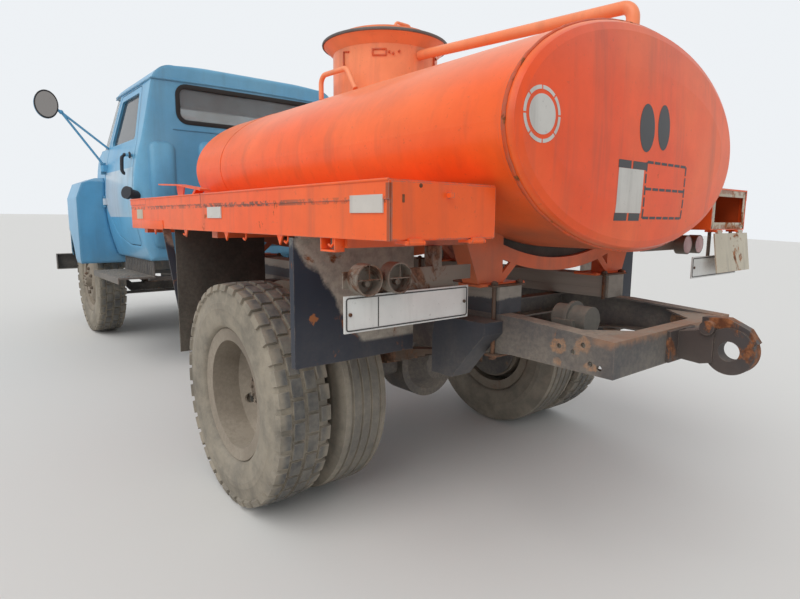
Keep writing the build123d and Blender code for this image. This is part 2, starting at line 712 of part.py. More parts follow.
def neck_lid():
    z = neck_rim_z + 30 + seat_gap
    disc = Pos(neck_x, 0, z) * Cylinder(manhole_radius + 32, 12, align=(Align.CENTER, Align.CENTER, Align.MIN))
    dome = Pos(neck_x, 0, z + 12) * Cone(manhole_radius - 20, 90, 26, align=(Align.CENTER, Align.CENTER, Align.MIN))
    strap = box(neck_x + 150, lid_pin_x - 4, -45, 45, z, z + 14)
    barrel = rod((lid_pin_x, -48, lid_pin_z), (lid_pin_x, 48, lid_pin_z), 13)
    handle = pipe([(neck_x - 150, -50, z + 10), (neck_x - 150, -50, z + 60), (neck_x - 150, 50, z + 60),
                   (neck_x - 150, 50, z + 10)], 18, 8)
    lid = disc + dome + strap + barrel + handle
    return lid - rod((lid_pin_x, -60, lid_pin_z), (lid_pin_x, 60, lid_pin_z), 7 + fit_gap)


def tank_top_at(y):
    """Height of the tank's upper side above a line along the truck, with the gap of a seated piece."""
    return tank_z + tank_half_height * sqrt(1 - (y / tank_half_width) ** 2) + seat_gap


def tank_pipework():
    vent = pipe([(neck_x - neck_radius - 1.8, 0, 2080), (-1150, 0, 2008), (-1150, 0, tank_top_at(0))], 45, 24)
    # Grab rail beside the neck, lengthwise
    y = 360
    tube = 13
    foot = tank_top_at(y - tube)
    rail = pipe([(neck_x + 90, y, foot), (neck_x + 90, y, 1990), (neck_x - 150, y, 1985),
                 (neck_x - 225, y, foot + 4.5)], 45, tube)
    return [vent, rail]


def side_case(side):
    """Hose case: a sheet-metal tube, open at the rear, with covers whose lips turn down."""
    rear_x, inner_y = case_rear_x[side], case_inner_y[side]
    low_z, high_z = case_low_z[side], case_high_z[side]
    case = box(rear_x, case_front_x, inner_y, case_outer_y, low_z, high_z)
    case -= box(rear_x - 1, case_front_x - case_sheet, inner_y + case_sheet, case_outer_y - case_sheet,
                low_z + case_sheet, high_z - case_sheet)
    # Each row: rear x, front x of a cover's lip, its depth
    for x0, x1, lip in ((rear_x, 180, 48), (184, 1010, 42), (1014, case_front_x, 30)):
        case += box(x0, x1, case_outer_y - 1, case_outer_y + 4, high_z - lip, high_z + 3)
        case += box(x0, x1, inner_y, case_outer_y, high_z - 1, high_z + 3)
    for x in (-520, -60, 420, 900):
        case += prism("Y", [(x - 22, low_z + 1), (x + 22, low_z + 1), (x, low_z - 34)],
                      case_outer_y - 12, case_outer_y - 6)
    # Ears and pins that carry the end lid
    pin_x, pin_z = case_pin(side)
    for y in case_hinge_y:
        case += pin_ears(pin_x, y, pin_z, "Y", 25, 32, 3, 6)
        for way in (1, -1):
            case += box(pin_x, rear_x + 40, y + way * 25, y + way * 32, pin_z - 4, low_z + 1)
    if side < 0:
        return mirrored(case)
    # Bracket on the left-hand case: a sloping top bar on a post and a leg
    case += prism("Y", [(400, 1371), (740, 1407), (1034, 1421), (1034, 1429), (740, 1415), (400, 1379)], 975, 1025)
    case += prism("Y", [(765, high_z), (835, high_z), (860, 1415), (740, 1409)], 978, 984)
    case += prism("Y", [(525, high_z), (545, high_z), (480, 1381), (460, 1379)], 978, 1022)
    case += box(765, 835, 984, 1022, high_z, high_z + 9)
    return case


def case_pin(side):
    """x and z of the line about which a case's end lid turns."""
    return case_rear_x[side] - case_pin_out, case_low_z[side] - case_pin_drop


def case_lid(side):
    """End lid, hinged along its lower edge; the left one is shut and the right one hangs."""
    low_z, high_z = case_low_z[side], case_high_z[side]
    inner_y = case_inner_y[side]
    pin_x, pin_z = case_pin(side)
    x1 = case_rear_x[side] - seat_gap
    lid = box(x1 - 5, x1, inner_y + 2, case_outer_y - 2, low_z + 4, high_z - 2)
    lid += box(x1 - 22, x1 - 4, inner_y + 190, inner_y + 206, high_z - 40, high_z - 26)
    for y in case_hinge_y:
        lid += rod((pin_x, y - 24, pin_z), (pin_x, y + 24, pin_z), 6)
        lid += box(pin_x - 4, x1 - 1, y - 24, y + 24, pin_z + 2, low_z + 6)
        lid -= rod((pin_x, y - 30, pin_z), (pin_x, y + 30, pin_z), 3 + fit_gap)
    if side > 0:
        return lid
    hung = lid.rotate(Axis((pin_x, 0, pin_z), (0, 1, 0)), -lid_hang)
    return mirrored(hung)


def post_edge(z):
    """How far out the saddle post's sloping outer edge lies at a height."""
    return post_outer_y + post_lean * (z - beam_top - seat_gap)


def tank_saddles():
    """Saddles of folded plate on the timbers: posts open forwards, joined by a curved band."""
    low = beam_top + seat_gap
    high = tank_z - 220          # above the tank's underside, which cuts the posts
    outline = [(post_inner_y, low), (post_outer_y, low), (post_edge(high), high), (post_inner_y, high)]
    pieces = []
    for x in saddle_x:
        back = x - saddle_half
        front = x + saddle_half
        post = prism("X", outline, back, front)
        post -= prism("X", drawn_in(outline, saddle_sheet), back + saddle_sheet, front + 1)
        post += box(back - 12, front + 13, 253, 500, low, low + saddle_sheet)
        for edge in (back - 12, front + 13):
            post += rod((edge, 253, low + 6), (edge, 500, low + 6), 6)
        post += prism("X", [(post_inner_y + 1, low + 5), (post_inner_y + 1, 1045), (318, 1086), (285, 1074)],
                      back, back + 12)
        band = rod((back, 0, band_z), (front, 0, band_z), band_radius + band_depth)
        band -= rod((back + saddle_sheet, 0, band_z), (front + 1, 0, band_z), band_radius + band_depth + 1)
        band += rod((back, 0, band_z), (front, 0, band_z), band_radius + saddle_sheet)
        band -= rod((back - 1, 0, band_z), (front + 1, 0, band_z), band_radius)
        band &= box(back, front, -post_inner_y - 2, post_inner_y + 2, low, 1250)
        saddle = band + post + mirrored(post)
        pieces.append(saddle - tank_outer(x - 60, x + 60, seat_gap))
    return pieces


def case_arms():
    """Arms welded between the saddles' posts and the cases, which stand on them."""
    arms = []
    for side in (1, -1):
        top = case_low_z[side] - seat_gap
        low = case_low_z[side] - 30
        start = seat_gap * 1.1
        outline = [(post_edge(low) + start, low), (1060, low), (1060, top), (post_edge(top) + start, top)]
        for x in saddle_x:
            arm = prism("X", outline, x - 30, x + 30)
            arms.append(arm if side > 0 else mirrored(arm))
    return arms


def saddle_pads():
    """Packing between each saddle's band and the tank."""
    pads = []
    half_y = post_inner_y - seat_gap
    for x in saddle_x:
        pad = rod((x - 20, 0, band_z), (x + 20, 0, band_z), band_radius - seat_gap)
        pad &= box(x - 20, x + 20, -half_y, half_y, 1050, 1250)
        pad -= tank_outer(x - 30, x + 30, seat_gap)
        pads.append(max(pad.solids(), key=lambda solid: solid.volume))
    return pads


def mud_plates():
    """Steel guard plates behind the rear wheels, and the stays of the flaps ahead of them."""
    pieces = []
    for side in (1, -1):
        top = case_low_z[side] - seat_gap
        plate = box(-624, -620, 575, 1100, 735, top - 6)
        plate += box(-624, -596, 1096, 1100, 735, top - 6) + box(-624, -596, 575, 1100, 735, 739)
        plate += box(-640, -600, case_inner_y[side] + 10, 1080, top - 11, top)
        # Stay from the flap's front face up to the case
        foot_x, foot_z, width, lean = 624 + seat_gap, 726, 8, 0.4865
        head_x = foot_x + lean * (top - foot_z)
        stay = prism("Y", [(foot_x, foot_z), (foot_x + width, foot_z), (head_x + width, top), (head_x, top)],
                     1030, 1070)
        pieces += [plate, stay] if side > 0 else [mirrored(plate), mirrored(stay)]
    return pieces


def mud_flaps():
    left = box(616, 624, 600, 1080, 560, case_low_z[1] - seat_gap)
    right = box(616, 624, -1080, -600, 560, case_low_z[-1] - seat_gap)
    return [left, right]


def tail_lamps():
    """Round lamp cans on bars that hang from the side cases' arms, and the plates' strips."""
    pieces = []
    for side, (end_x, z, places) in tail_lamp_rows.items():
        x = end_x + 50
        bar = box(x, x + 6, 560, places[1] + 60, z - 26, z + 24)
        for y in places:
            bar += rod((end_x, y, z), (x, y, z), 48) - rod((end_x - 1, y, z), (x - 6, y, z), 43.5)
        bar += box(x, saddle_x[0] - 17, 700, 740, z - 22, case_low_z[side] - 30 - seat_gap)
        if side > 0:
            bar += box(x + 6, x + 10, 640, 1040, 905, z - 6)
        pieces.append(bar if side > 0 else mirrored(bar))
    # Two hangers of the second plate, below the right-hand case
    x1 = second_plate_x + 5
    for y in case_hinge_y:
        pieces.append(box(x1 + seat_gap, x1 + 6, -y - 14, -y + 14, 1010, case_low_z[-1] - seat_gap))
    return pieces


def number_plate():
    """Blank plates: one under the left-hand lamps, one below the right-hand case."""
    left = box(-918, -912.3, 576, 1096, 906, 1018)
    right = box(second_plate_x, second_plate_x + 5, -1105, -605, 988, 1085)
    return [left, right]


def brake_valve():
    """Trailer brake valve on a bracket from the left rail's web."""
    z = 834
    valve = box(-1175, -1105, 240, rail_outer_y - rail_web - seat_gap, z - 8, z)
    valve += box(-1180, -1100, 190, 330, z - 1, z + 66)
    valve += rod((-1215, 262, z + 62), (-1080, 262, z + 62), 50)
    valve += rod((-1150, 262, z + 62), (-1138, 262, z + 62), 64)
    valve += rod((-1140, 215, z + 40), (-1140, 120, z + 40), 22)
    return valve


def running_boards():
    board = box(2050, 2850, 780, 1035, 800, 812)
    board += box(2050, 2850, 1029, 1035, 770, 812) + box(2050, 2850, 780, 788, 812, 925)
    for x in (2150, 2700):
        board += box(x - 25, x + 25, rail_outer_y + seat_gap, 800, 775, 802)
    return both(board)


def seat():
    base = box(2080, 2560, -640, 640, floor_z + seat_gap, 1290)
    cushion = box(2090, 2600, -650, 650, 1290 + seat_gap, 1430)
    back = prism("Y", [(2062, 1430 + seat_gap), (2190, 1430 + seat_gap), (2130, 1880), (2060, 1880)], -650, 650)
    return [base, cushion, back]


def dashboard():
    dash = prism("Y", [(3040, 1500), (3000, 1700), (3060, 1748), (3150, 1748), (3150, 1500)], -830, 830)
    dash &= cab_form(cab_wall + seat_gap)
    hub = (2740, 360, 1660)
    toe = (3080, 360, 1330)
    foot_x = 3150 - cab_wall - seat_gap
    column = rod(toe, hub, 22) + box(foot_x - 30, foot_x, 315, 405, 1270, 1370)
    centre = Plane(origin=hub, z_dir=Vector(*hub) - Vector(*toe))
    wheel = centre * Torus(205, 13)
    wheel += centre * Cylinder(36, 34)
    for angle in (90, 210, 330):
        wheel += centre * Rot(0, 0, angle) * Pos(105, 0, 0) * Box(200, 20, 9)
    return [dash, column + wheel]


def mirrors():
    head = (3040, 1250, 2120)
    joint = (3040, 1150, 2072)
    feet = ((2990, 869, 1660), (2990, 822, 1800))
    arm = rod(joint, (3040, 1205, 2100), 11)
    for foot in feet:
        arm += rod(foot, joint, 9)
    arm += Pos(*joint) * Sphere(17)
    plane = Plane(origin=(head[0] - 8, head[1], head[2]), x_dir=(0, 1, 0), z_dir=(-1, 0, 0))
    shell = extrude(plane * Ellipse(84, 108), amount=-22)
    return both(max((arm + shell - cab_skin).solids(), key=lambda solid: solid.volume))


def fuel_filler():
    neck_tube = rod((2075, 862, 1395), (2030, 935, 1412), 34)
    cap = rod((2030, 935, 1412), (2018, 955, 1416), 44)
    return neck_tube + cap - cab_skin


def exhaust():
    z = 672
    can = rod((1450, -560, z), (2050, -560, z), 85)
    lead = pipe([(2049, -560, z), (2250, -560, z), (2450, -310, z), (2950, -230, 800), (3169.7, -230, 800)], 60, 26)
    tail = pipe([(1451, -560, z), (1180, -560, z), (1100, -760, z - 40), (1080, -980, z - 60)], 50, 26)
    for x in (1540, 1940):
        can += box(x, x + 30, -566, -556, 740, 880) + box(x, x + 30, -566, -rail_outer_y - seat_gap, 870, 880)
    return can + lead + tail


def tyre_profile():
    half = tyre_width / 2
    rim_half = half - rim_step - seat_gap
    # Each row: distance from the tyre's middle, radius; the other half is its mirror image
    rows = ((rim_half, bead_radius - 8), (rim_half, flange_radius + 1), (half - 10, flange_radius + 8),
            (half - 2, 330), (half, 385), (half - 6, 440), (half - 17, 468), (half - 34, tyre_radius - 5),
            (0, tyre_radius))
    return rows + tuple((-out, radius) for out, radius in rows[-2::-1])


def tyre(x, y):
    return lathe(tyre_profile(), x, y, axle_z)


def wheel_disc(x, y, side, dish):
    """Rim and disc; dish is how far the disc's middle lies outside the tyre's middle."""
    half = tyre_width / 2 - rim_step
    # Each row: distance from the rim's middle, radius
    rows = ((half + 4, bead_radius - 18), (half + 11, flange_radius - 4), (half + 5, flange_radius),
            (half, flange_radius - 6), (half, bead_radius - 9))
    rim = lathe(rows + tuple((-out, radius) for out, radius in rows[::-1]), x, y, axle_z, side)
    disc = lathe(((dish, 90), (dish, 150), (dish * 0.62, 205), (dish * 0.35, bead_radius - 17),
                  (dish * 0.35 - 12, bead_radius - 17), (dish * 0.62 - 11, 200), (dish - 10, 148),
                  (dish - 10, 90)), x, y, axle_z, side)
    for a, b in ring_points(6, 200, pi / 6):
        disc -= rod((x + a, y - 200, axle_z + b), (x + a, y + 200, axle_z + b), 24)
    return rim + disc


def front_rim(side):
    y = side * front_wheel_y
    rim = wheel_disc(front_axle_x, y, side, 95)
    bore = 28 + fit_gap
    start = kingpin_y + 80
    hub = lathe(((0, bore), (0, 75), (95, 92), (107, 92), (107, 60), (150, 52), (150, 0), (128, 0), (128, bore)),
                front_axle_x, side * start, axle_z, side)
    drum = lathe(((-6, 178), (-6, 196), (62, 196), (62, 60), (50, 60), (50, 178)),
                 front_axle_x, side * start, axle_z, side)
    return rim + hub + drum


def rear_rims(side):
    outer = wheel_disc(0, side * twin_outer_y, side, -115)
    inner = wheel_disc(0, side * twin_inner_y, side, 135)
    face = twin_outer_y - 125
    drum = lathe(((605 + moving_gap, 180), (605 + moving_gap, 205), (face - 32, 205), (face - 32, 90),
                  (face - 60, 90), (face - 60, 180)), 0, 0, axle_z, side)
    bore = 38 + fit_gap
    hub = lathe(((face - 45, bore), (face - 45, 95), (face + 12, 95), (face + 12, 70), (face + 70, 62),
                 (face + 70, 0), (face + 40, 0), (face + 40, bore)), 0, 0, axle_z, side)
    return outer + inner + drum + hub


keep("frame_rails", frame_rails())
keep("tow_hook", tow_hook())
keep("brake_valve", brake_valve())
keep("front_bumper", front_bumper())
keep("engine_and_radiator", engine_and_radiator())
keep("front_axle", front_axle(), on_frame=False)
keep("rear_axle", rear_axle())
keep("leaf_springs", leaf_springs())
keep("spring_hangers", spring_hangers())
keep("tank_beams", tank_beams())
keep("tank_saddles", tank_saddles())
keep("case_arms", case_arms())
keep("saddle_pads", saddle_pads())
keep("tank", tank())
keep("neck", neck())
keep("neck_lid", neck_lid())
keep("tank_pipework", tank_pipework())
keep("mud_plates", mud_plates())
keep("mud_flaps", mud_flaps())
keep("tail_lamps", tail_lamps())
keep("lamp_lenses", lamp_lenses())
keep("number_plate", number_plate())
keep("running_boards", running_boards())
keep("front_wings", both(wing()))
keep("cab_shell", cab_shell())
keep("cab_glass", cab_glass())
keep("front_panel", front_panel())
keep("headlamps", headlamps())
keep("bonnet", bonnet())
keep("seat", seat())
keep("dashboard", dashboard())
keep("mirrors", mirrors())
keep("fuel_filler", fuel_filler())
keep("exhaust", exhaust())
keep("tie_rod", tie_rod(), on_frame=False)
for name, side in (("left", 1), ("right", -1)):
    keep("side_case_" + name, side_case(side))
    keep("case_lid_" + name, case_lid(side))
    keep("door_" + name, door(side))
    keep("door_glass_" + name, door_glass(side))
    keep("knuckle_" + name, knuckle(side), on_frame=False)
    keep("front_tyre_" + name, tyre(front_axle_x, side * front_wheel_y), on_frame=False)
    keep("front_rim_" + name, front_rim(side), on_frame=False)
    keep("rear_tyres_" + name, [tyre(0, side * twin_outer_y), tyre(0, side * twin_inner_y)], on_frame=False)
    keep("rear_rims_" + name, rear_rims(side), on_frame=False)

# The origin goes to the ground below the middle of the truck
everything = [solid.bounding_box() for found in nodes.values() for solid in found]
middle_x = (min(room.min.X for room in everything) + max(room.max.X for room in everything)) / 2

os.makedirs("parts", exist_ok=True)
for name, found in nodes.items():
    export_step(Compound(children=[Pos(-middle_x, 0, 0) * solid for solid in found]), "parts/" + name + ".step")
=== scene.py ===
import bpy
import math
import random
from mathutils import Euler, Matrix, Vector


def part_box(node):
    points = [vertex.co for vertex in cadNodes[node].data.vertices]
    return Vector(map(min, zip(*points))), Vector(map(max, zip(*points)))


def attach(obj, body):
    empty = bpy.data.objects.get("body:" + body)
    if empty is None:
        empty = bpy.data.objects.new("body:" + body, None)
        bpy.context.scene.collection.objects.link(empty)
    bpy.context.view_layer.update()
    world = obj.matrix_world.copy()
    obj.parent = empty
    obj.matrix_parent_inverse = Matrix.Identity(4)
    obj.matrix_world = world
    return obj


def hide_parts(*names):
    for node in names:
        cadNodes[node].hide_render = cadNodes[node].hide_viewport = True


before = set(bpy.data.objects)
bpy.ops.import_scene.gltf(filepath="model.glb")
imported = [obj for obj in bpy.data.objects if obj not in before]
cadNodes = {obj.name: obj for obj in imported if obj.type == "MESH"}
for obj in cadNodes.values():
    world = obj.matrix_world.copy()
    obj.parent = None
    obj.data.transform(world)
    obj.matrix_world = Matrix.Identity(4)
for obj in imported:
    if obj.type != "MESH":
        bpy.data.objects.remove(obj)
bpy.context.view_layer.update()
print("frame loaded:", len(cadNodes), "nodes")

# The chassis is drawn level, with x from the rear axle and z from the ground.
# The empty truck stands nose-down, turned about the rear axle.
stance = {"rake": math.atan(160 / 3700), "axleHeight": 0.486}
axleX = sum(corner[0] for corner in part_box("rear_tyres_left")) / 2
axleLift = Matrix.Translation((0, 0, stance["axleHeight"]))
raked = axleLift @ Matrix.Rotation(stance["rake"], 4, "Y") @ axleLift.inverted()
chassisStance = Matrix.Translation((axleX, 0, 0)) @ raked


def middleOf(node):
    low, high = (Vector(corner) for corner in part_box(node))
    return (low + high) / 2


# Short names for shader nodes; they go into the tree that is being built
shading = {"tree": None}


def setSocket(socket, value):
    # a socket takes another node's output, a colour or a number
    if isinstance(value, bpy.types.NodeSocket):
        shading["tree"].links.new(value, socket)
    elif isinstance(value, tuple) and socket.type == "RGBA":
        socket.default_value = (*value, 1)
    else:
        socket.default_value = value


def setSockets(node, values):
    for key, value in values.items():
        setSocket(node.inputs[key], value)
    return node


def addNode(kind, sockets=None, **values):
    node = shading["tree"].nodes.new(kind)
    for key, value in values.items():
        setattr(node, key, value)
    return setSockets(node, sockets or {})


def maths(operation, a, b=0.0, clamp=False):
    return addNode("ShaderNodeMath", {0: a, 1: b}, operation=operation, use_clamp=clamp).outputs[0]


def chain(operation, values):
    total = values[0]
    for value in values[1:]:
        total = maths(operation, total, value)
    return total


def times(*values):
    return chain("MULTIPLY", values)


def plus(*values):
    return chain("ADD", values)


def minus(a, b):
    return maths("SUBTRACT", a, b)


def sizeOf(value):
    return maths("ABSOLUTE", value)


def distance(a, b):
    return maths("SQRT", plus(times(a, a), times(b, b)))


def mixColour(amount, a, b, mode="MIX"):
    return addNode("ShaderNodeMix", {0: amount, 6: a, 7: b}, data_type="RGBA", blend_type=mode).outputs[2]


def rangeOf(value, low, high, toLow=0.0, toHigh=1.0, kind="SMOOTHSTEP"):
    sockets = {0: value, 1: low, 2: high, 3: toLow, 4: toHigh}
    return addNode("ShaderNodeMapRange", sockets, interpolation_type=kind).outputs[0]


def noiseOf(vector, scale, detail=4.0, roughness=0.55, distortion=0.0):
    sockets = {"Vector": vector, "Scale": scale, "Detail": detail, "Roughness": roughness, "Distortion": distortion}
    return addNode("ShaderNodeTexNoise", sockets).outputs["Fac"]


def patches(vector, noise, span):
    # noise is scale, detail and roughness; span is what rangeOf makes of it
    return rangeOf(noiseOf(vector, *noise), *span)


def mapped(vector, scale=(1, 1, 1), turn=(0, 0, 0), shift=(0, 0, 0)):
    sockets = {"Vector": vector, "Scale": scale, "Rotation": turn, "Location": shift}
    return addNode("ShaderNodeMapping", sockets).outputs[0]


def objectPoint():
    return addNode("ShaderNodeTexCoord").outputs["Object"]


def splitPoint(vector):
    return addNode("ShaderNodeSeparateXYZ", {0: vector}).outputs


def softNormal(radius, samples):
    return addNode("ShaderNodeBevel", {"Radius": radius}, samples=samples).outputs[0]


# The photograph's camera, and soft light from a pale sky
view = {"place": (-2.2729, 2.0008, 1.244), "turn": (81.835, -0.41, -129.409), "lens": 25.2, "sensor": 36, "reach": 100}
studio = {"sky": (0.94, 0.97, 1.0), "skyStrength": 0.62, "backdrop": (0.9, 0.93, 0.96), "backdropStrength": 0.95,
          "sun": (1.0, 0.985, 0.96), "sunStrength": 1.5, "sunTurn": (42, -6, -158), "softness": 55,
          "floor": (0.72, 0.71, 0.69), "floorRoughness": 0.85, "floorSize": 60, "floorZ": -0.001}


def setCamera():
    data = bpy.data.cameras.new("photoCamera")
    data.lens = view["lens"]
    data.sensor_width = view["sensor"]
    data.clip_end = view["reach"]
    camera = bpy.data.objects.new("photoCamera", data)
    bpy.context.collection.objects.link(camera)
    turn = Euler([math.radians(angle) for angle in view["turn"]])
    camera.matrix_world = chassisStance @ Matrix.LocRotScale(Vector(view["place"]), turn, None)
    bpy.context.scene.camera = camera


def setLight():
    world = bpy.data.worlds.new("studioSky")
    bpy.context.scene.world = world
    world.use_nodes = True
    shading["tree"] = world.node_tree
    world.node_tree.nodes.clear()
    # the sky lights the truck; the camera, glass and mirrors see the paler backdrop
    rays = addNode("ShaderNodeLightPath").outputs
    seen = maths("MAXIMUM", rays["Is Glossy Ray"], rays["Is Transmission Ray"])
    mix = addNode("ShaderNodeMixShader")
    setSocket(mix.inputs[0], maths("MAXIMUM", rays["Is Camera Ray"], seen))
    for i, name in ((1, "sky"), (2, "backdrop")):
        glow = addNode("ShaderNodeBackground", {"Color": studio[name], "Strength": studio[name + "Strength"]})
        setSocket(mix.inputs[i], glow.outputs[0])
    addNode("ShaderNodeOutputWorld", {"Surface": mix.outputs[0]})
    bpy.context.scene.view_settings.view_transform = "Standard"

    lamp = bpy.data.lights.new("softSun", "SUN")
    lamp.energy = studio["sunStrength"]
    lamp.angle = math.radians(studio["softness"])
    lamp.color = studio["sun"]
    sun = bpy.data.objects.new("softSun", lamp)
    sun.rotation_euler = [math.radians(angle) for angle in studio["sunTurn"]]
    bpy.context.collection.objects.link(sun)

    bpy.ops.mesh.primitive_plane_add(size=studio["floorSize"], location=(0, 0, studio["floorZ"]))
    floor = bpy.context.object
    floor.name = "studioFloor"
    paleFloor = bpy.data.materials.new("paleFloor")
    paleFloor.use_nodes = True
    setSockets(paleFloor.node_tree.nodes["Principled BSDF"],
               {"Base Color": studio["floor"], "Roughness": studio["floorRoughness"]})
    floor.data.materials.append(paleFloor)


setCamera()
setLight()
print("camera and light set")


# Node groups that the finishes share
def newGroup(name, inputs, outputs):
    tree = shading["tree"] = bpy.data.node_groups.new(name, "ShaderNodeTree")
    for label, value in inputs.items():
        kind = "NodeSocketColor" if isinstance(value, tuple) else "NodeSocketFloat"
        socket = tree.interface.new_socket(label, in_out="INPUT", socket_type=kind)
        socket.default_value = (*value, 1) if isinstance(value, tuple) else value
    for label, kind in outputs.items():
        tree.interface.new_socket(label, in_out="OUTPUT", socket_type="NodeSocket" + kind)
    return tree, tree.nodes.new("NodeGroupInput").outputs, tree.nodes.new("NodeGroupOutput")


def makeLevelPoint():
    # a point on the truck, as drawn on the level chassis
    tree, given, out = newGroup("levelPoint", {}, {"Point": "Vector", "X": "Float", "Y": "Float", "Z": "Float"})
    back = chassisStance.inverted()
    level = mapped(objectPoint(), turn=back.to_euler(), shift=back.translation)
    parts = splitPoint(level)
    setSockets(out, {"Point": level, "X": parts["X"], "Y": parts["Y"], "Z": parts["Z"]})
    return tree


plain = {"Paint": (0.8, 0.8, 0.8), "Faded": (0.8, 0.8, 0.8), "Dust Colour": (0.3, 0.26, 0.21),
         "Rust Colour": (0.36, 0.12, 0.035), "Bare Colour": (0.25, 0.22, 0.19), "Fade": 0.5, "Dust": 0.4,
         "Dust Height": 1.2, "Rust": 0.2, "Rust Scale": 9.0, "Edge Wear": 0.4, "Grime": 0.3, "Roughness": 0.4}
wear = {"grime": (0.1, 0.075, 0.06), "darkRust": (0.35, 0.3, 0.3), "edge": 0.006, "wornRoughness": 0.85}


def makeWeathering():
    # worn paint: fading, grime runs, bare edges, rust and dust
    tree, given, out = newGroup("weathering", plain, {"Colour": "Color", "Roughness": "Float", "Height": "Float"})
    point = objectPoint()
    normal = addNode("ShaderNodeNewGeometry").outputs["Normal"]
    lean = splitPoint(normal)["Z"]
    height = splitPoint(point)["Z"]
    # fading in broad clouds, and a fine mottle
    clouds = patches(point, (1.1, 3), (0.36, 0.68))
    colour = mixColour(times(clouds, given["Fade"]), given["Paint"], given["Faded"])
    mottle = patches(point, (8.0, 5, 0.6), (0.25, 0.75, 0.9, 1.06, "LINEAR"))
    colour = mixColour(1.0, colour, mottle, "MULTIPLY")
    # grime that has run down upright faces, and specks of it
    runs = patches(mapped(point, (11, 11, 0.8)), (1.0, 4, 0.6), (0.5, 0.74))
    runs = times(runs, minus(1.0, sizeOf(lean)), given["Grime"])
    specks = times(patches(point, (55.0, 3, 0.7), (0.62, 0.72)), given["Grime"], 0.8)
    colour = mixColour(maths("MAXIMUM", runs, specks), colour, wear["grime"])
    # bare metal along edges
    dot = addNode("ShaderNodeVectorMath", {0: softNormal(wear["edge"], 4), 1: normal}, operation="DOT_PRODUCT")
    edge = rangeOf(minus(1.0, dot.outputs["Value"]), 0.03, 0.16)
    chips = patches(point, (19.0, 6, 0.7), (0.42, 0.56))
    edge = maths("MULTIPLY", times(edge, chips), given["Edge Wear"], True)
    colour = mixColour(edge, colour, given["Bare Colour"])
    # rust in patches
    fine = noiseOf(point, given["Rust Scale"], 8, 0.66, 0.5)
    broad = noiseOf(point, times(given["Rust Scale"], 0.2), 2)
    spread = plus(times(fine, 0.6), times(broad, 0.4))
    start = minus(0.7, times(given["Rust"], 0.32))
    rust = rangeOf(spread, start, plus(start, 0.05))
    tone = patches(point, (38.0, 5, 0.7), (0.35, 0.65))
    darkRust = mixColour(1.0, given["Rust Colour"], wear["darkRust"], "MULTIPLY")
    colour = mixColour(rust, colour, mixColour(tone, darkRust, given["Rust Colour"]))
    # dust, on what faces up and near the ground
    up = rangeOf(lean, 0.35, 0.95, 0.0, 0.55)
    low = rangeOf(height, given["Dust Height"], times(given["Dust Height"], 0.3))
    patchy = patches(point, (3.4, 6, 0.62), (0.28, 0.72, 0.3, 1.0))
    grain = patches(point, (60.0, 4, 0.7), (0.3, 0.7, 0.62, 1.0))
    dust = times(plus(up, low), patchy, grain)
    dust = maths("MULTIPLY", dust, given["Dust"], True)
    colour = mixColour(dust, colour, given["Dust Colour"])
    sockets = {0: maths("MAXIMUM", dust, rust), 2: given["Roughness"], 3: wear["wornRoughness"]}
    rough = addNode("ShaderNodeMix", sockets, data_type="FLOAT")
    lumps = plus(times(rust, 0.5), times(fine, 0.35))
    setSockets(out, {"Colour": colour, "Roughness": rough.outputs[0], "Height": lumps})
    return tree


levelPoint = makeLevelPoint()
weathering = makeWeathering()


def levelOutputs():
    return addNode("ShaderNodeGroup", node_tree=levelPoint).outputs


def newMaterial(name, metallic=0.0, coat=0.0):
    material = bpy.data.materials.new(name)
    material.use_nodes = True
    shading["tree"] = material.node_tree
    shader = setSockets(material.node_tree.nodes["Principled BSDF"], {
        "Metallic": metallic, "Coat Weight": coat, "Coat Roughness": 0.12, "Specular IOR Level": 0.32})
    return material, shader


def bumped(shader, height, strength, deep=0.002, rounding=0.0):
    bump = addNode("ShaderNodeBump", {"Strength": strength, "Distance": deep, "Height": height})
    setSocket(shader.inputs["Normal"], bump.outputs[0])
    if rounding:
        # pressed sheet turns softly at its folds
        setSocket(bump.inputs["Normal"], softNormal(rounding, 8))


def wornPaint(name, values, paint=None, coat=0.0, metallic=0.0, bump=0.25, rounding=0.0):
    # paint is a function that builds the paint's colour, or nothing for a plain one
    material, shader = newMaterial(name, metallic, coat)
    worn = setSockets(addNode("ShaderNodeGroup", node_tree=weathering), values)
    if paint:
        setSocket(worn.inputs["Paint"], paint())
    setSockets(shader, {"Base Color": worn.outputs["Colour"], "Roughness": worn.outputs["Roughness"]})
    bumped(shader, worn.outputs["Height"], bump, rounding=rounding)
    return material


# Paints with marks of their own; places are on the level chassis
blue = {"Paint": (0.105, 0.36, 0.6), "Faded": (0.2, 0.48, 0.68), "Fade": 0.75, "Dust": 0.55, "Dust Height": 1.15,
        "Rust": 0.1, "Edge Wear": 0.25, "Grime": 0.16, "Roughness": 0.36}
orange = {"Paint": (0.9, 0.104, 0.012), "Faded": (0.92, 0.16, 0.034), "Fade": 0.55, "Dust": 0.16,
          "Dust Height": 1.2, "Rust": 0.12, "Rust Scale": 14.0, "Edge Wear": 0.9, "Grime": 0.24, "Roughness": 0.42,
          "Bare Colour": (0.22, 0.17, 0.14)}
navy = {"Paint": (0.026, 0.032, 0.048), "Faded": (0.045, 0.052, 0.065), "Fade": 0.6, "Dust": 0.85,
        "Dust Height": 1.05, "Rust": 0.34, "Rust Scale": 7.0, "Edge Wear": 0.6, "Grime": 0.2, "Roughness": 0.55,
        "Bare Colour": (0.2, 0.16, 0.13), "Rust Colour": (0.33, 0.115, 0.035)}

stripe = {"low": (1.246, 1.25), "high": (1.606, 1.602), "wobble": 0.004, "colour": (0.52, 0.6, 0.68)}


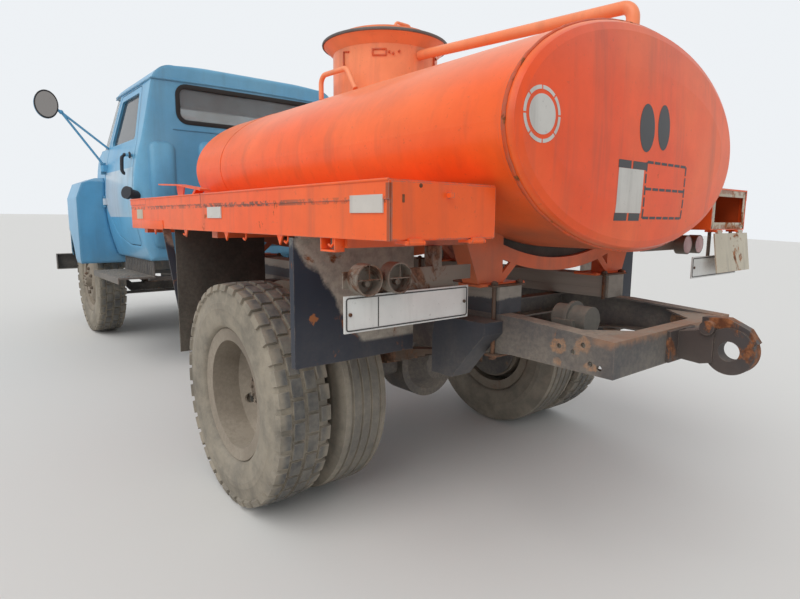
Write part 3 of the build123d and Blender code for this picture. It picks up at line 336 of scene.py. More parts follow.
def stripedBlue():
    wobble = times(noiseOf(objectPoint(), 30, 2), stripe["wobble"])
    z = plus(levelOutputs()["Z"], wobble)
    band = times(rangeOf(z, *stripe["low"]), rangeOf(z, *stripe["high"]))
    return mixColour(band, blue["Paint"], stripe["colour"])


# Tank colours: towards the top the barrel is painted much paler, a painted reflection of the sky, and the head turns
# greyer over the same band
tankPaint = {"barrel": (0.92, 0.122, 0.014), "barrelReflection": (0.94, 0.385, 0.2), "head": (0.88, 0.083, 0.009),
             "headTop": (0.74, 0.125, 0.06), "lowTone": (0.21, 0.1, 0.065), "rearHead": (-1.215, -1.235),
             "reflectionBand": (1.62, 1.95), "lowToneBand": (1.4, 1.16)}


def tankOrange():
    level = levelOutputs()
    # the band along the top where the painted sky reflection lies
    top = rangeOf(level["Z"], *tankPaint["reflectionBand"])
    barrel = mixColour(times(top, 0.8), tankPaint["barrel"], tankPaint["barrelReflection"])
    # darker brown in patches towards the barrel's bottom
    lowTone = patches(level["Point"], (3.0, 5), (0.3, 0.7, 0.35, 1.0))
    lowTone = times(rangeOf(level["Z"], *tankPaint["lowToneBand"]), lowTone, 0.88)
    barrel = mixColour(lowTone, barrel, tankPaint["lowTone"])
    head = mixColour(top, tankPaint["head"], tankPaint["headTop"])
    return mixColour(rangeOf(level["X"], *tankPaint["rearHead"]), barrel, head)


# Each mark on the cases: the corners of its box, its soft edge and its colour; the inside mark is painted shade
caseMarks = {"joint": ((-1.14, 1.097, 1.18), (-1.124, 1.12, 1.335), 0.003, (0.035, 0.022, 0.018)),
             "lip": ((-1.2, 1.098, 1.288), (1.4, 1.12, 1.302), 0.004, (0.16, 0.05, 0.025)),
             "inside": ((-1.16, -1.0945, 1.2095), (1.3, -0.718, 1.386), 0.003, (0.06, 0.022, 0.015))}


def insideBox(level, low, high, soft):
    # one inside a box on the level chassis, nought outside
    walls = []
    for axis, a, b in zip("XYZ", low, high):
        walls += [rangeOf(level[axis], a - soft, a), rangeOf(level[axis], b + soft, b)]
    return times(*walls)


def caseOrange():
    # a dark joint by the lid, a scraped lip, and painted shade over the inside of the open case
    level = levelOutputs()
    colour = orange["Paint"]
    for name, (low, high, soft, tone) in caseMarks.items():
        mark = insideBox(level, low, high, soft)
        if name == "lip":
            mark = times(mark, patches(level["Point"], (28, 6, 0.7), (0.46, 0.54)))
        colour = mixColour(mark, colour, tone)
    return colour


# Rust on the rails: x, z and radius round each bolt hole, and where the rear crossmember's edge lies
railRust = {"holes": ((-1.202, 0.828, 0.024), (-1.291, 0.852, 0.026), (-1.272, 0.826, 0.014), (-1.322, 0.781, 0.012),
                      (-1.196, 0.775, 0.012)), "dark": (0.15, 0.065, 0.03), "light": (0.44, 0.185, 0.06),
            "edge": (0.3, 0.13, 0.06), "edgeX": (-1.3, -1.35), "edgeZ": (0.885, 0.915)}


def railNavy():
    level = levelOutputs()
    uneven = times(noiseOf(level["Point"], 24, 6, 0.65), 0.075)
    grain = patches(level["Point"], (90, 5, 0.7), (0.35, 0.65))
    tone = mixColour(grain, railRust["dark"], railRust["light"])
    colour = navy["Paint"]
    for x, z, radius in railRust["holes"]:
        away = distance(minus(level["X"], x), minus(level["Z"], z))
        spot = rangeOf(plus(away, uneven), radius + 0.044, radius + 0.034)
        colour = mixColour(spot, colour, tone)
    edge = times(rangeOf(level["X"], *railRust["edgeX"]), rangeOf(plus(level["Z"], uneven), *railRust["edgeZ"]))
    return mixColour(edge, colour, railRust["edge"])


rubber = {"dusty": ((0.17, 0.15, 0.12), (0.33, 0.285, 0.22)), "bare": ((0.055, 0.058, 0.062), (0.135, 0.13, 0.118)),
          "blocks": (0.4805, 0.484)}


def tyreRubber():
    # worn blocks are dark; dust stays in the grooves and on the walls
    point = objectPoint()
    parts = splitPoint(point)
    high = minus(parts["Z"], stance["axleHeight"])
    radii = [distance(minus(parts["X"], middleOf(node).x), high) for node in ("front_tyre_left", "rear_tyres_left")]
    dusty = mixColour(patches(point, (7, 6, 0.7), (0.3, 0.7)), *rubber["dusty"])
    bare = mixColour(patches(point, (16, 5, 0.7), (0.35, 0.65)), *rubber["bare"])
    blocks = times(rangeOf(maths("MINIMUM", *radii), *rubber["blocks"]),
                   patches(point, (5, 5, 0.6), (0.3, 0.55, 0.45, 1.0)))
    return mixColour(blocks, dusty, bare)


# Dried mud thrown over the mud plates, which leaves their outer and lower edges clean, and one rusty spot
mud = {"colour": (0.46, 0.42, 0.35), "slope": -0.7, "edge": (0.345, 0.315), "low": (0.79, 0.805),
       "spot": (1.028, 0.902), "spotSize": (0.05, 0.04), "spotColour": (0.34, 0.12, 0.04)}


def plateDust():
    level = levelOutputs()
    uneven = times(noiseOf(level["Point"], 9, 6, 0.65), 0.12)
    edge = plus(sizeOf(level["Y"]), times(level["Z"], mud["slope"]), uneven)
    thrown = times(rangeOf(edge, *mud["edge"]), rangeOf(level["Z"], *mud["low"]),
                   patches(level["Point"], (30, 6, 0.7), (0.25, 0.75, 0.55, 1.0)))
    colour = mixColour(thrown, navy["Paint"], mud["colour"])
    y, z = mud["spot"]
    away = plus(sizeOf(minus(level["Y"], y)), sizeOf(minus(level["Z"], z)),
                times(noiseOf(level["Point"], 60, 4), 0.05))
    return mixColour(rangeOf(away, *mud["spotSize"]), colour, mud["spotColour"])


# Each worn paint: what it is based on, what differs, and how it is laid
paints = {
    "cabBlue": (blue, {}, {"coat": 0.25, "rounding": 0.035}),
    "doorBlue": (blue, {}, {"paint": stripedBlue, "coat": 0.25}),
    "tankOrange": (orange, {"Faded": (0.95, 0.205, 0.055), "Edge Wear": 0.4}, {"paint": tankOrange, "coat": 0.12}),
    "caseOrange": (orange, {"Rust": 0.2}, {"paint": caseOrange, "coat": 0.08}),
    "weldOrange": (orange, {"Paint": (0.62, 0.085, 0.02), "Rust": 0.4, "Grime": 0.5, "Rust Scale": 30.0},
        {"bump": 0.8}),
    "lidBeige": (blue, {"Paint": (0.56, 0.5, 0.38), "Faded": (0.45, 0.39, 0.29), "Rust": 0.42, "Dust": 0.3,
        "Grime": 0.5, "Edge Wear": 0.8, "Bare Colour": (0.3, 0.1, 0.04)}, {}),
    "frameNavy": (navy, {}, {}),
    "railNavy": (navy, {"Dust": 1.35, "Dust Height": 1.35, "Fade": 0.2}, {"paint": railNavy}),
    "plateDust": (navy, {"Dust": 0.5, "Fade": 0.05}, {"paint": plateDust}),
    "hookRust": (navy, {"Paint": (0.06, 0.045, 0.04), "Rust": 0.62, "Dust": 0.6, "Rust Colour": (0.3, 0.115, 0.045),
        "Rust Scale": 11.0}, {"bump": 0.6}),
    "grilleWhite": (blue, {"Paint": (0.62, 0.65, 0.66), "Faded": (0.5, 0.52, 0.52), "Rust": 0.2}, {}),
    "stepGrey": (navy, {"Paint": (0.085, 0.085, 0.088), "Faded": (0.21, 0.185, 0.165), "Edge Wear": 1.0,
        "Bare Colour": (0.36, 0.3, 0.25)}, {}),
    "lampRust": (navy, {"Paint": (0.17, 0.145, 0.12), "Faded": (0.24, 0.2, 0.16), "Rust": 0.58,
        "Rust Colour": (0.19, 0.1, 0.06), "Dust": 0.22}, {}),
    "steelRust": (navy, {"Paint": (0.075, 0.05, 0.036), "Faded": (0.12, 0.075, 0.05), "Rust": 0.8,
        "Rust Colour": (0.2, 0.085, 0.04), "Dust": 0.7}, {}),
    "engineGrey": (navy, {"Paint": (0.07, 0.075, 0.075), "Faded": (0.1, 0.09, 0.075), "Dust": 0.8,
        "Dust Height": 1.5}, {}),
    "rimDust": (navy, {"Paint": (0.15, 0.12, 0.09), "Faded": (0.24, 0.2, 0.15), "Dust": 0.95, "Dust Height": 1.5,
        "Rust": 0.3, "Dust Colour": (0.36, 0.31, 0.25), "Rust Colour": (0.24, 0.11, 0.055)},
        {"bump": 0.4}),
    "fillerBlack": (navy, {"Paint": (0.02, 0.02, 0.022), "Rust": 0.1, "Dust": 0.4}, {}),
    "dashGrey": (navy, {"Paint": (0.1, 0.13, 0.15), "Rust": 0.0, "Dust": 0.3}, {}),
    "plateWhite": (blue, {"Paint": (0.78, 0.78, 0.76), "Faded": (0.7, 0.7, 0.67), "Rust": 0.05, "Dust": 0.25,
        "Grime": 0.3}, {}),
    "signWhite": (blue, {"Paint": (0.62, 0.6, 0.56), "Faded": (0.55, 0.5, 0.45), "Rust": 0.0, "Dust": 0.2,
        "Grime": 0.35, "Edge Wear": 0.0}, {}),
    "signBlack": (blue, {"Paint": (0.045, 0.045, 0.048), "Faded": (0.07, 0.065, 0.06), "Rust": 0.0, "Dust": 0.1,
        "Edge Wear": 0.0}, {}),
    "tyreRubber": (plain, {"Paint": (0.045, 0.043, 0.04), "Faded": (0.1, 0.094, 0.085), "Fade": 0.1, "Dust": 0.2,
        "Dust Height": 1.6, "Dust Colour": (0.39, 0.365, 0.325), "Rust": 0.0, "Edge Wear": 0.35,
        "Bare Colour": (0.36, 0.33, 0.29), "Grime": 0.0, "Roughness": 0.8},
        {"paint": tyreRubber, "bump": 0.5}),
    "padRubber": (plain, {"Paint": (0.018, 0.018, 0.018), "Faded": (0.04, 0.036, 0.033), "Fade": 0.7, "Dust": 0.55,
        "Dust Height": 1.7, "Rust": 0.0, "Edge Wear": 0.0, "Grime": 0.0, "Roughness": 0.7},
        {"bump": 0.4}),
    "chromeWorn": (blue, {"Paint": (0.55, 0.55, 0.55), "Faded": (0.45, 0.45, 0.45), "Roughness": 0.22, "Dust": 0.3},
        {"metallic": 1.0}),
}


def makeMirrorGlass():
    material, shader = newMaterial("mirrorGlass", metallic=1.0)
    film = patches(objectPoint(), (12, 5), (0.35, 0.7, 0.06, 0.28))
    setSockets(shader, {"Base Color": (0.27, 0.25, 0.235), "Roughness": film})
    return material


def makeWindowGlass(name, clear, clean, filmed):
    material, shader = newMaterial(name)
    film = patches(objectPoint(), (4, 6, 0.6), (0.3, 0.75))
    setSockets(shader, {"Transmission Weight": clear, "Base Color": mixColour(film, clean, filmed),
                        "Roughness": rangeOf(film, 0, 1, 0.02, 0.14)})
    return material


def makeLens():
    # ribbed glass, clear in front and faded red behind
    material, shader = newMaterial("lens", coat=0.4)
    point = objectPoint()
    rearward = rangeOf(splitPoint(point)["X"], 0.0, -0.1)
    red = mixColour(patches(point, (14, 4), (0.3, 0.7)), (0.5, 0.2, 0.2), (0.62, 0.36, 0.34))
    setSockets(shader, {"Base Color": mixColour(rearward, (0.62, 0.64, 0.63), red), "Roughness": 0.25})
    ribs = addNode("ShaderNodeTexWave", {"Vector": point, "Scale": 28}, bands_direction="Y")
    bumped(shader, ribs.outputs["Fac"], 0.4)
    return material


def makeTimber():
    # weathered grain with cracks, and old paint along the left beam's lower edge
    material, shader = newMaterial("timber")
    level = levelOutputs()["Point"]
    grain = noiseOf(mapped(level, (1.2, 26, 34)), 1.0, 6, 0.65, 0.4)
    colour = mixColour(rangeOf(grain, 0.3, 0.7), (0.085, 0.068, 0.052), (0.235, 0.205, 0.165))
    cracks = patches(mapped(level, (0.8, 60, 70)), (1.0, 3, 0.7), (0.64, 0.7))
    colour = mixColour(cracks, colour, (0.03, 0.024, 0.02))
    colour = mixColour(0.62, colour, (0.4, 0.385, 0.345))
    place = splitPoint(level)
    low = plus(place["Z"], times(noiseOf(level, 9, 5, 0.7), 0.05))
    painted = times(rangeOf(low, 0.985, 0.975), rangeOf(place["Y"], -0.1, 0.1), 0.85)
    setSockets(shader, {"Base Color": mixColour(painted, colour, (0.035, 0.042, 0.058)), "Roughness": 0.85})
    bumped(shader, minus(grain, cracks), 0.6, 0.003)
    return material


def makeSeatHide():
    material, shader = newMaterial("seatHide")
    point = objectPoint()
    cells = addNode("ShaderNodeTexVoronoi", {"Vector": point, "Scale": 260}, feature="DISTANCE_TO_EDGE")
    worn = patches(point, (5, 5), (0.4, 0.7))
    setSockets(shader, {"Base Color": mixColour(worn, (0.045, 0.028, 0.022), (0.1, 0.065, 0.05)),
                        "Roughness": rangeOf(worn, 0, 1, 0.5, 0.7)})
    bumped(shader, rangeOf(cells.outputs["Distance"], 0, 0.06), 0.35, 0.001)
    return material


finish = {name: wornPaint(name, {**base, **changes}, **ways) for name, (base, changes, ways) in paints.items()}
finish.update({
    "mirrorGlass": makeMirrorGlass(), "lens": makeLens(), "timber": makeTimber(), "seatHide": makeSeatHide(),
    "windowGlass": makeWindowGlass("windowGlass", 0.82, (0.62, 0.66, 0.67), (0.5, 0.49, 0.47)),
    # the door glass is tinted dark: painted shade of the cab's inside behind it
    "shadedDoorGlass": makeWindowGlass("shadedDoorGlass", 0.7, (0.1, 0.11, 0.12), (0.17, 0.17, 0.17))})

nodeFinish = {
    "frameNavy": "front_bumper spring_hangers front_axle rear_axle knuckle_left knuckle_right tie_rod",
    "railNavy": "frame_rails", "hookRust": "tow_hook", "plateDust": "mud_plates", "lidBeige": "case_lid_right",
    "engineGrey": "engine_and_radiator brake_valve", "steelRust": "leaf_springs exhaust", "timber": "tank_beams",
    "tankOrange": "tank neck neck_lid tank_pipework tank_saddles case_arms",
    "caseOrange": "side_case_left side_case_right case_lid_left", "padRubber": "saddle_pads mud_flaps",
    "lampRust": "tail_lamps", "lens": "lamp_lenses", "plateWhite": "number_plate", "seatHide": "seat",
    "cabBlue": "cab_shell front_wings bonnet mirrors", "doorBlue": "door_left door_right",
    "grilleWhite": "front_panel", "chromeWorn": "headlamps", "stepGrey": "running_boards",
    "windowGlass": "cab_glass", "shadedDoorGlass": "door_glass_left door_glass_right", "dashGrey": "dashboard",
    "fillerBlack": "fuel_filler", "tyreRubber": "front_tyre_left front_tyre_right rear_tyres_left rear_tyres_right",
    "rimDust": "front_rim_left front_rim_right rear_rims_left rear_rims_right",
}
for kind, names in nodeFinish.items():
    for name in names.split():
        for place in cadNodes[name].material_slots:
            place.material = finish[kind]
print("finishes made:", len(finish))


# Pieces are modelled in metres on the level chassis and then take its stance.
def choose(*pieces):
    # leaves edit mode and selects these pieces only
    if bpy.context.object and bpy.context.object.mode == "EDIT":
        bpy.ops.object.mode_set(mode="OBJECT")
    bpy.ops.object.select_all(action="DESELECT")
    for piece in pieces:
        piece.select_set(True)
    if pieces:
        bpy.context.view_layer.objects.active = pieces[0]


def applied(piece):
    choose(piece)
    bpy.ops.object.transform_apply(location=True, rotation=True, scale=True)
    return piece


def pick(piece, kind, test):
    # selects the corners, edges or faces that pass the test, and leaves the piece in edit mode
    choose(piece)
    mesh = piece.data
    for group in (mesh.vertices, mesh.edges, mesh.polygons):
        group.foreach_set("select", [False] * len(group))
    if kind == "VERT":
        for corner in mesh.vertices:
            corner.select = bool(test(corner.co))
    elif kind == "EDGE":
        for edge in mesh.edges:
            edge.select = all(test(mesh.vertices[i].co) for i in edge.vertices)
    else:
        for face in mesh.polygons:
            face.select = bool(test(face.center, face.normal))
    bpy.context.tool_settings.mesh_select_mode = (kind == "VERT", kind == "EDGE", kind == "FACE")
    bpy.ops.object.mode_set(mode="EDIT")


def everyPart(piece):
    pick(piece, "VERT", lambda point: True)


def everyFace(piece):
    pick(piece, "FACE", lambda centre, normal: True)


def turnedOut(piece):
    everyPart(piece)
    bpy.ops.mesh.normals_make_consistent(inside=False)
    choose()
    return piece


def stretched(piece, size, place):
    everyPart(piece)
    bpy.ops.transform.resize(value=size, center_override=(0, 0, 0))
    bpy.ops.transform.translate(value=place)
    choose()
    return piece


def cutAcross(piece, y):
    everyPart(piece)
    bpy.ops.mesh.bisect(plane_co=(0, y, 0), plane_no=(0, 1, 0))


def addBlock(low, high, bevel=0.002, segments=2):
    choose()
    low, high = Vector(low), Vector(high)
    bpy.ops.mesh.primitive_cube_add(size=1, location=(low + high) / 2)
    piece = bpy.context.object
    piece.scale = high - low
    everyPart(applied(piece))
    bpy.ops.mesh.bevel(offset=bevel, segments=segments, affect="EDGES")
    choose()
    return piece


def addBar(start, end, radius, sides=16, bevel=0.15):
    # round bar between two points, with softened ends
    choose()
    start, end = Vector(start), Vector(end)
    way = end - start
    bpy.ops.mesh.primitive_cylinder_add(vertices=sides, radius=radius, depth=way.length, location=(start + end) / 2,
                                        rotation=way.to_track_quat("Z", "Y").to_euler())
    piece = bpy.context.object
    tips = way.length / 2 - 1e-5
    pick(piece, "EDGE", lambda point: abs(point.z) > tips)
    bpy.ops.mesh.bevel(offset=radius * bevel, segments=2, affect="EDGES")
    return applied(piece)


def addTube(points, radius, soft=False):
    # bar through points, made from a line with a round section
    line = bpy.data.curves.new("tube", "CURVE")
    line.dimensions = "3D"
    line.bevel_depth = radius
    line.bevel_resolution = 2
    line.use_fill_caps = True
    strand = line.splines.new("NURBS" if soft else "POLY")
    strand.points.add(len(points) - 1)
    for spot, point in zip(strand.points, points):
        spot.co = (*point, 1)
    if soft:
        strand.order_u = 3
        strand.use_endpoint_u = True
    piece = bpy.data.objects.new("tube", line)
    bpy.context.collection.objects.link(piece)
    choose(piece)
    bpy.ops.object.convert(target="MESH")
    piece = bpy.context.object
    everyPart(piece)
    bpy.ops.mesh.remove_doubles(threshold=0.0001)
    return turnedOut(piece)


def addSheet(low, high, x, corner, cuts=1, thick=0):
    # upright sheet across the truck, with round corners; cuts let it follow a curve
    (y0, z0), (y1, z1) = low, high
    choose()
    bpy.ops.mesh.primitive_plane_add(size=1)
    sheet = bpy.context.object
    sheet.scale = (y1 - y0, z1 - z0, 1)
    sheet.location = ((y0 + y1) / 2, (z0 + z1) / 2, x)
    everyPart(applied(sheet))
    bpy.ops.mesh.bevel(offset=corner, segments=6, affect="VERTICES")
    if thick:
        everyPart(sheet)
        bpy.ops.mesh.extrude_region_move(TRANSFORM_OT_translate={"value": (0, 0, thick)})
    turnedOut(sheet)
    # the plane's own x, y and z become y, z and x
    sheet.matrix_world = Matrix(((0, 0, 1, 0), (1, 0, 0, 0), (0, 1, 0, 0), (0, 0, 0, 1)))
    applied(sheet)
    for i in range(1, cuts):
        cutAcross(sheet, y0 + (y1 - y0) * i / cuts)
    choose()
    return sheet


def ringOf(sheet, width):
    everyFace(sheet)
    bpy.ops.mesh.inset(thickness=width)
    bpy.ops.mesh.delete(type="FACE")
    choose()
    return sheet


def addRing(y, z, radius, hole=0, dashes=0, tall=1.0, x=-1.3):
    # upright disc or ring across the truck; a ring may be cut into dashes
    choose()
    bpy.ops.mesh.primitive_circle_add(vertices=96, radius=radius, fill_type="NGON", rotation=(0, -math.pi / 2, 0))
    piece = applied(bpy.context.object)
    if hole:
        ringOf(piece, radius - hole)
    else:
        everyFace(piece)
        for i in range(2):
            bpy.ops.mesh.inset(thickness=radius * 0.3)
    if dashes:
        def inGap(centre, normal):
            return (math.atan2(centre.z, centre.y) / (2 * math.pi) % 1) * dashes % 1 > 0.88
        pick(piece, "FACE", inGap)
        bpy.ops.mesh.delete(type="FACE")
    return stretched(piece, (1, 1, tall), (x, y, z))


def addPatch(y0, y1, z0, z1, cuts=5, x=-1.3):
    choose()
    bpy.ops.mesh.primitive_grid_add(x_subdivisions=cuts, y_subdivisions=cuts, size=1, rotation=(0, -math.pi / 2, 0))
    piece = applied(bpy.context.object)
    return stretched(piece, (1, abs(y1 - y0), abs(z1 - z0)), (x, (y0 + y1) / 2, (z0 + z1) / 2))


def addRim(reach, radius, size, place, turn=(0, math.pi / 2, 0), steps=(64, 10)):
    choose()
    bpy.ops.mesh.primitive_torus_add(major_segments=steps[0], minor_segments=steps[1], major_radius=reach,
                                     minor_radius=radius, rotation=turn)
    return stretched(applied(bpy.context.object), size, place)


def changed(piece, kind, **values):
    # adds a modifier and applies it
    choose(piece)
    modifier = piece.modifiers.new(kind.lower(), kind)
    for key, value in values.items():
        setattr(modifier, key, value)
    bpy.ops.object.modifier_apply(modifier=modifier.name)
    return piece


def thickened(piece, thickness, bevel=0.0, offset=0.0):
    changed(piece, "SOLIDIFY", thickness=thickness, offset=offset)
    return changed(piece, "BEVEL", width=bevel, segments=2) if bevel else piece


def laidOn(piece, target, lift=0.0):
    # pushes a flat piece forwards until it lies on the target
    return changed(piece, "SHRINKWRAP", target=target, wrap_method="PROJECT", use_project_x=True, use_project_y=False,
                   use_project_z=False, use_positive_direction=True, offset=lift)


def together(pieces):
    choose(*pieces)
    if len(pieces) > 1:
        bpy.ops.object.join()
    return bpy.context.view_layer.objects.active


def copyOf(piece, shift=(0, 0, 0), flip=False):
    # a copy with its own mesh, moved or mirrored across the truck's middle
    twin = piece.copy()
    twin.data = piece.data.copy()
    bpy.context.collection.objects.link(twin)
    twin.location = shift
    if flip:
        twin.scale = (1, -1, 1)
    applied(twin)
    return turnedOut(twin) if flip else twin


def bothSides(piece):
    return together([piece, copyOf(piece, flip=True)])


def levelCopy(name):
    # a CAD node's shape on the level chassis, to lay thin pieces on
    choose()
    twin = cadNodes[name].copy()
    twin.data = cadNodes[name].data.copy()
    bpy.context.collection.objects.link(twin)
    twin.data.transform(chassisStance.inverted())
    return twin


def settle(piece, name, kind, body="chassis", level=True, angle=32):
    # name, stance, finish and body of a finished piece
    choose()
    piece.name = name
    if level:
        piece.matrix_world = chassisStance @ piece.matrix_world
    applied(piece)
    bpy.ops.object.shade_smooth_by_angle(angle=math.radians(angle))
    piece.data.materials.clear()
    piece.data.materials.append(finish[kind])
    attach(piece, body)
    return piece


# Tyres: lugged ones outside and in front, ribbed ones between the twin wheels.
# Rows are the sides of the grooves; the wall runs from the shoulder to the rim as y and radius.
tyre = {"base": 0.474, "half": 0.1, "edgeShrink": 0.99, "pitches": 36, "columns": 8, "ribbedSides": 144,
        "luggedRows": (-0.062, -0.054, -0.007, 0.007, 0.054, 0.062), "luggedDepth": 0.0115,
        "ribbedRows": (-0.072, -0.064, -0.026, -0.018, 0.018, 0.026, 0.064, 0.072), "ribbedDepth": 0.0085,
        "luggedFrom": 0.453, "ribbedFrom": 0.462, "outerRow": 0.06, "twinGap": 0.1175, "band": (0.378, 0.402),
        "wall": ((0.1065, 0.449), (0.1105, 0.43), (0.114, 0.404), (0.1168, 0.372), (0.1168, 0.345), (0.1135, 0.325),
                 (0.1085, 0.306), (0.104, 0.3), (0.099, 0.2955), (0.0835, 0.2905), (0.0812, 0.2485))}


def spotsRound(count, radius, first=0.0):
    # places round a circle; first is where the first one lies, as a share of a step
    turns = [2 * math.pi * (i + first) / count for i in range(count)]
    return [(radius * math.cos(turn), radius * math.sin(turn)) for turn in turns]


def reachOf(point):
    return math.hypot(point.x, point.z)


def makeTyre(kind):
    lugged = kind == "lugged"
    count = tyre["pitches"] * tyre["columns"] if lugged else tyre["ribbedSides"]
    rows, edge, shrink = tyre[kind + "Rows"], tyre["half"], tyre["edgeShrink"]
    choose()
    bpy.ops.mesh.primitive_cylinder_add(vertices=count, radius=tyre["base"], depth=2 * edge,
                                        end_fill_type="NOTHING", rotation=(math.pi / 2, 0, 0))
    piece = applied(bpy.context.object)
    for y in rows:
        cutAcross(piece, y)
    pick(piece, "VERT", lambda point: abs(point.y) > edge - 0.001)
    bpy.ops.transform.resize(value=(shrink, 1, shrink), center_override=(0, 0, 0))
    for side in (1, -1):
        y, radius = edge, tyre["base"] * shrink
        pick(piece, "EDGE", lambda point: point.y * side > edge - 0.001)
        for nextY, nextRadius in tyre["wall"]:
            bpy.ops.mesh.extrude_edges_move(TRANSFORM_OT_translate={"value": (0, side * (nextY - y), 0)})
            factor = nextRadius / radius
            bpy.ops.transform.resize(value=(factor, 1, factor), center_override=(0, 0, 0))
            y, radius = nextY, nextRadius
    pick(piece, "EDGE", lambda point: reachOf(point) < tyre["wall"][-1][1] + 0.0005)
    bpy.ops.mesh.bridge_edge_loops()
    turnedOut(piece)

    def onBlock(centre, normal):
        if reachOf(centre) < tyre[kind + "From"]:
            return False
        if any(low < centre.y < high for low, high in zip(rows[::2], rows[1::2])):
            return False
        if not lugged:
            return abs(centre.y) < edge
        outer = abs(centre.y) > tyre["outerRow"]
        column = int((math.atan2(centre.z, centre.x) / (2 * math.pi) % 1) * count) % tyre["columns"]
        shift = 0 if outer else (3 if centre.y > 0 else 5)
        return (column + shift) % tyre["columns"] > (1 if outer else 0)

    def onBand(centre, normal):
        return tyre["band"][0] < reachOf(centre) < tyre["band"][1] and abs(centre.y) > edge

    pick(piece, "FACE", onBlock)
    bpy.ops.mesh.inset(thickness=0.0025, depth=tyre[kind + "Depth"], use_even_offset=True)
    pick(piece, "FACE", onBand)
    bpy.ops.mesh.inset(thickness=0.003, depth=0.0016)
    choose()
    return piece


def wheelNodes():
    # tyre node, its body, and which way is out
    for side, out in (("left", 1), ("right", -1)):
        for node in ("front_tyre_" + side, "rear_tyres_" + side):
            yield node, node.replace("tyre", "wheel"), out


def makeTyres():
    lugged, ribbed = makeTyre("lugged"), makeTyre("ribbed")
    for node, body, out in wheelNodes():
        low, high = (Vector(corner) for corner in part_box(node))
        x, y, z = (low + high) / 2
        if node.startswith("front"):
            piece = copyOf(lugged, (x, y, z))
        else:
            ends = [high.y - tyre["twinGap"], low.y + tyre["twinGap"]][::out]
            piece = together([copyOf(lugged, (x, ends[0], z)), copyOf(ribbed, (x, ends[1], z))])
        settle(piece, "tread" + node.title().replace("_", ""), "tyreRubber", body, level=False, angle=28)
        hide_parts(node)
    for piece in (lugged, ribbed):
        bpy.data.objects.remove(piece)


makeTyres()
print("tyres made")

# Wheel nuts, hub bolts and the rear hubs' shaft flanges. Nuts and bolts: count, circle, radius and depth.
# Front and rear are the y of the faces they stand on; flange bars have start, end, radius, sides and bevel.
nuts = {"kinds": ((6, 0.1115, 0.017, 0.016), (8, 0.048, 0.007, 0.006)), "rear": (0.8635, 0.9235),
        "front": (0.9105, 0.9505), "flange": ((0.923, 0.948, 0.078, 40, 0.06), (0.947, 0.956, 0.026, 24, 0.2)),
        "flangeBolts": (10, 0.06, 0.947, 0.959, 0.0105)}


def makeNuts():
    for node, body, out in wheelNodes():
        x, _, z = middleOf(node)
        end, _, side = node.split("_")
        parts = []
        for (count, circle, radius, deep), face in zip(nuts["kinds"], nuts[end]):
            one = together([addBar((x, out * (face - 0.002), z), (x, out * (face + deep), z), radius, 6, 0.2),
                            addBar((x, out * face, z), (x, out * (face + deep * 1.5), z), radius * 0.5, 12)])
            parts += [copyOf(one, (dx, 0, dz)) for dx, dz in spotsRound(count, circle, 0.5)]
            bpy.data.objects.remove(one)
        if end == "rear":
            for start, stop, radius, sides, bevel in nuts["flange"]:
                parts.append(addBar((x, out * start, z), (x, out * stop, z), radius, sides, bevel))
            count, circle, start, stop, radius = nuts["flangeBolts"]
            for dx, dz in spotsRound(count, circle):
                parts.append(addBar((x + dx, out * start, z + dz), (x + dx, out * stop, z + dz), radius, 6, 0.2))
        settle(together(parts), "wheelNuts" + end.title() + side.title(), "steelRust", body, level=False)


makeNuts()

# Cross bars, bulb holders and rim studs of the lamp cans: x, z and the two places across
lamps = {"left": (-0.962, 1.066, (0.92, 1.036)), "right": (-1.0, 1.126, (-0.931, -1.066)), "reach": 0.0432,
         "studCircle": 0.0457}


def makeLampBars():
    parts = []
    reach = lamps["reach"]
    for side in ("left", "right"):
        x, z, places = lamps[side]
        for y in places:
            if side == "left":
                parts += [addBar((x + 0.008, y - reach, z), (x + 0.008, y + reach, z), 0.0024, 8),
                          addBar((x + 0.01, y - 0.006, z), (x + 0.01, y - 0.006, z + reach), 0.002, 8),
                          addBar((x + 0.046, y - 0.012, z - 0.014), (x + 0.026, y - 0.012, z - 0.014), 0.01, 14, 0.2)]
            for dy, dz in spotsRound(3, lamps["studCircle"], 0.25):
                parts.append(addBar((x - 0.002, y + dy, z + dz), (x + 0.005, y + dy, z + dz), 0.0022, 8))
    settle(together(parts), "lampBars", "lampRust")


makeLampBars()

# Raised rims, divider and bolts of the blank plates: y and z of the corners, x of the face, and which end is divided
plates = {"spots": (((0.576, 0.906), (1.096, 1.018), -0.918, 1), ((-1.105, 0.988), (-0.605, 1.085), -1.168, -1)),
          "inset": 0.005, "corner": 0.01, "rim": 0.004, "divider": 0.24, "bolt": 0.02}


def makePlateTrim():
    rims, bolts = [], []
    for (y0, z0), (y1, z1), x, end in plates["spots"]:
        inset = plates["inset"]
        rim = addSheet((y0 + inset, z0 + inset), (y1 - inset, z1 - inset), x - 0.0003, plates["corner"], thick=-0.0012)
        for way in (-1, 1):
            pick(rim, "FACE", lambda centre, normal: normal.x * way > 0.9)
            bpy.ops.mesh.inset(thickness=plates["rim"])
            bpy.ops.mesh.delete(type="FACE")
        pick(rim, "EDGE", lambda point: False)
        bpy.ops.mesh.select_non_manifold()
        bpy.ops.mesh.bridge_edge_loops()
        turnedOut(rim)
        bar = (y1 if end > 0 else y0) - end * (y1 - y0) * plates["divider"]
        rims += [rim, addBlock((x - 0.0012, bar - 0.0018, z0 + 0.01), (x + 0.0002, bar + 0.0018, z1 - 0.01), 0.0004)]
        middle = (z0 + z1) / 2
        for y in (y0 + plates["bolt"], y1 - plates["bolt"]):
            bolts.append(addBar((x - 0.005, y, middle), (x + 0.001, y, middle), 0.0065, 6, 0.25))
    settle(together(rims), "plateRims", "signBlack")
    settle(together(bolts), "plateBolts", "steelRust")


makePlateTrim()

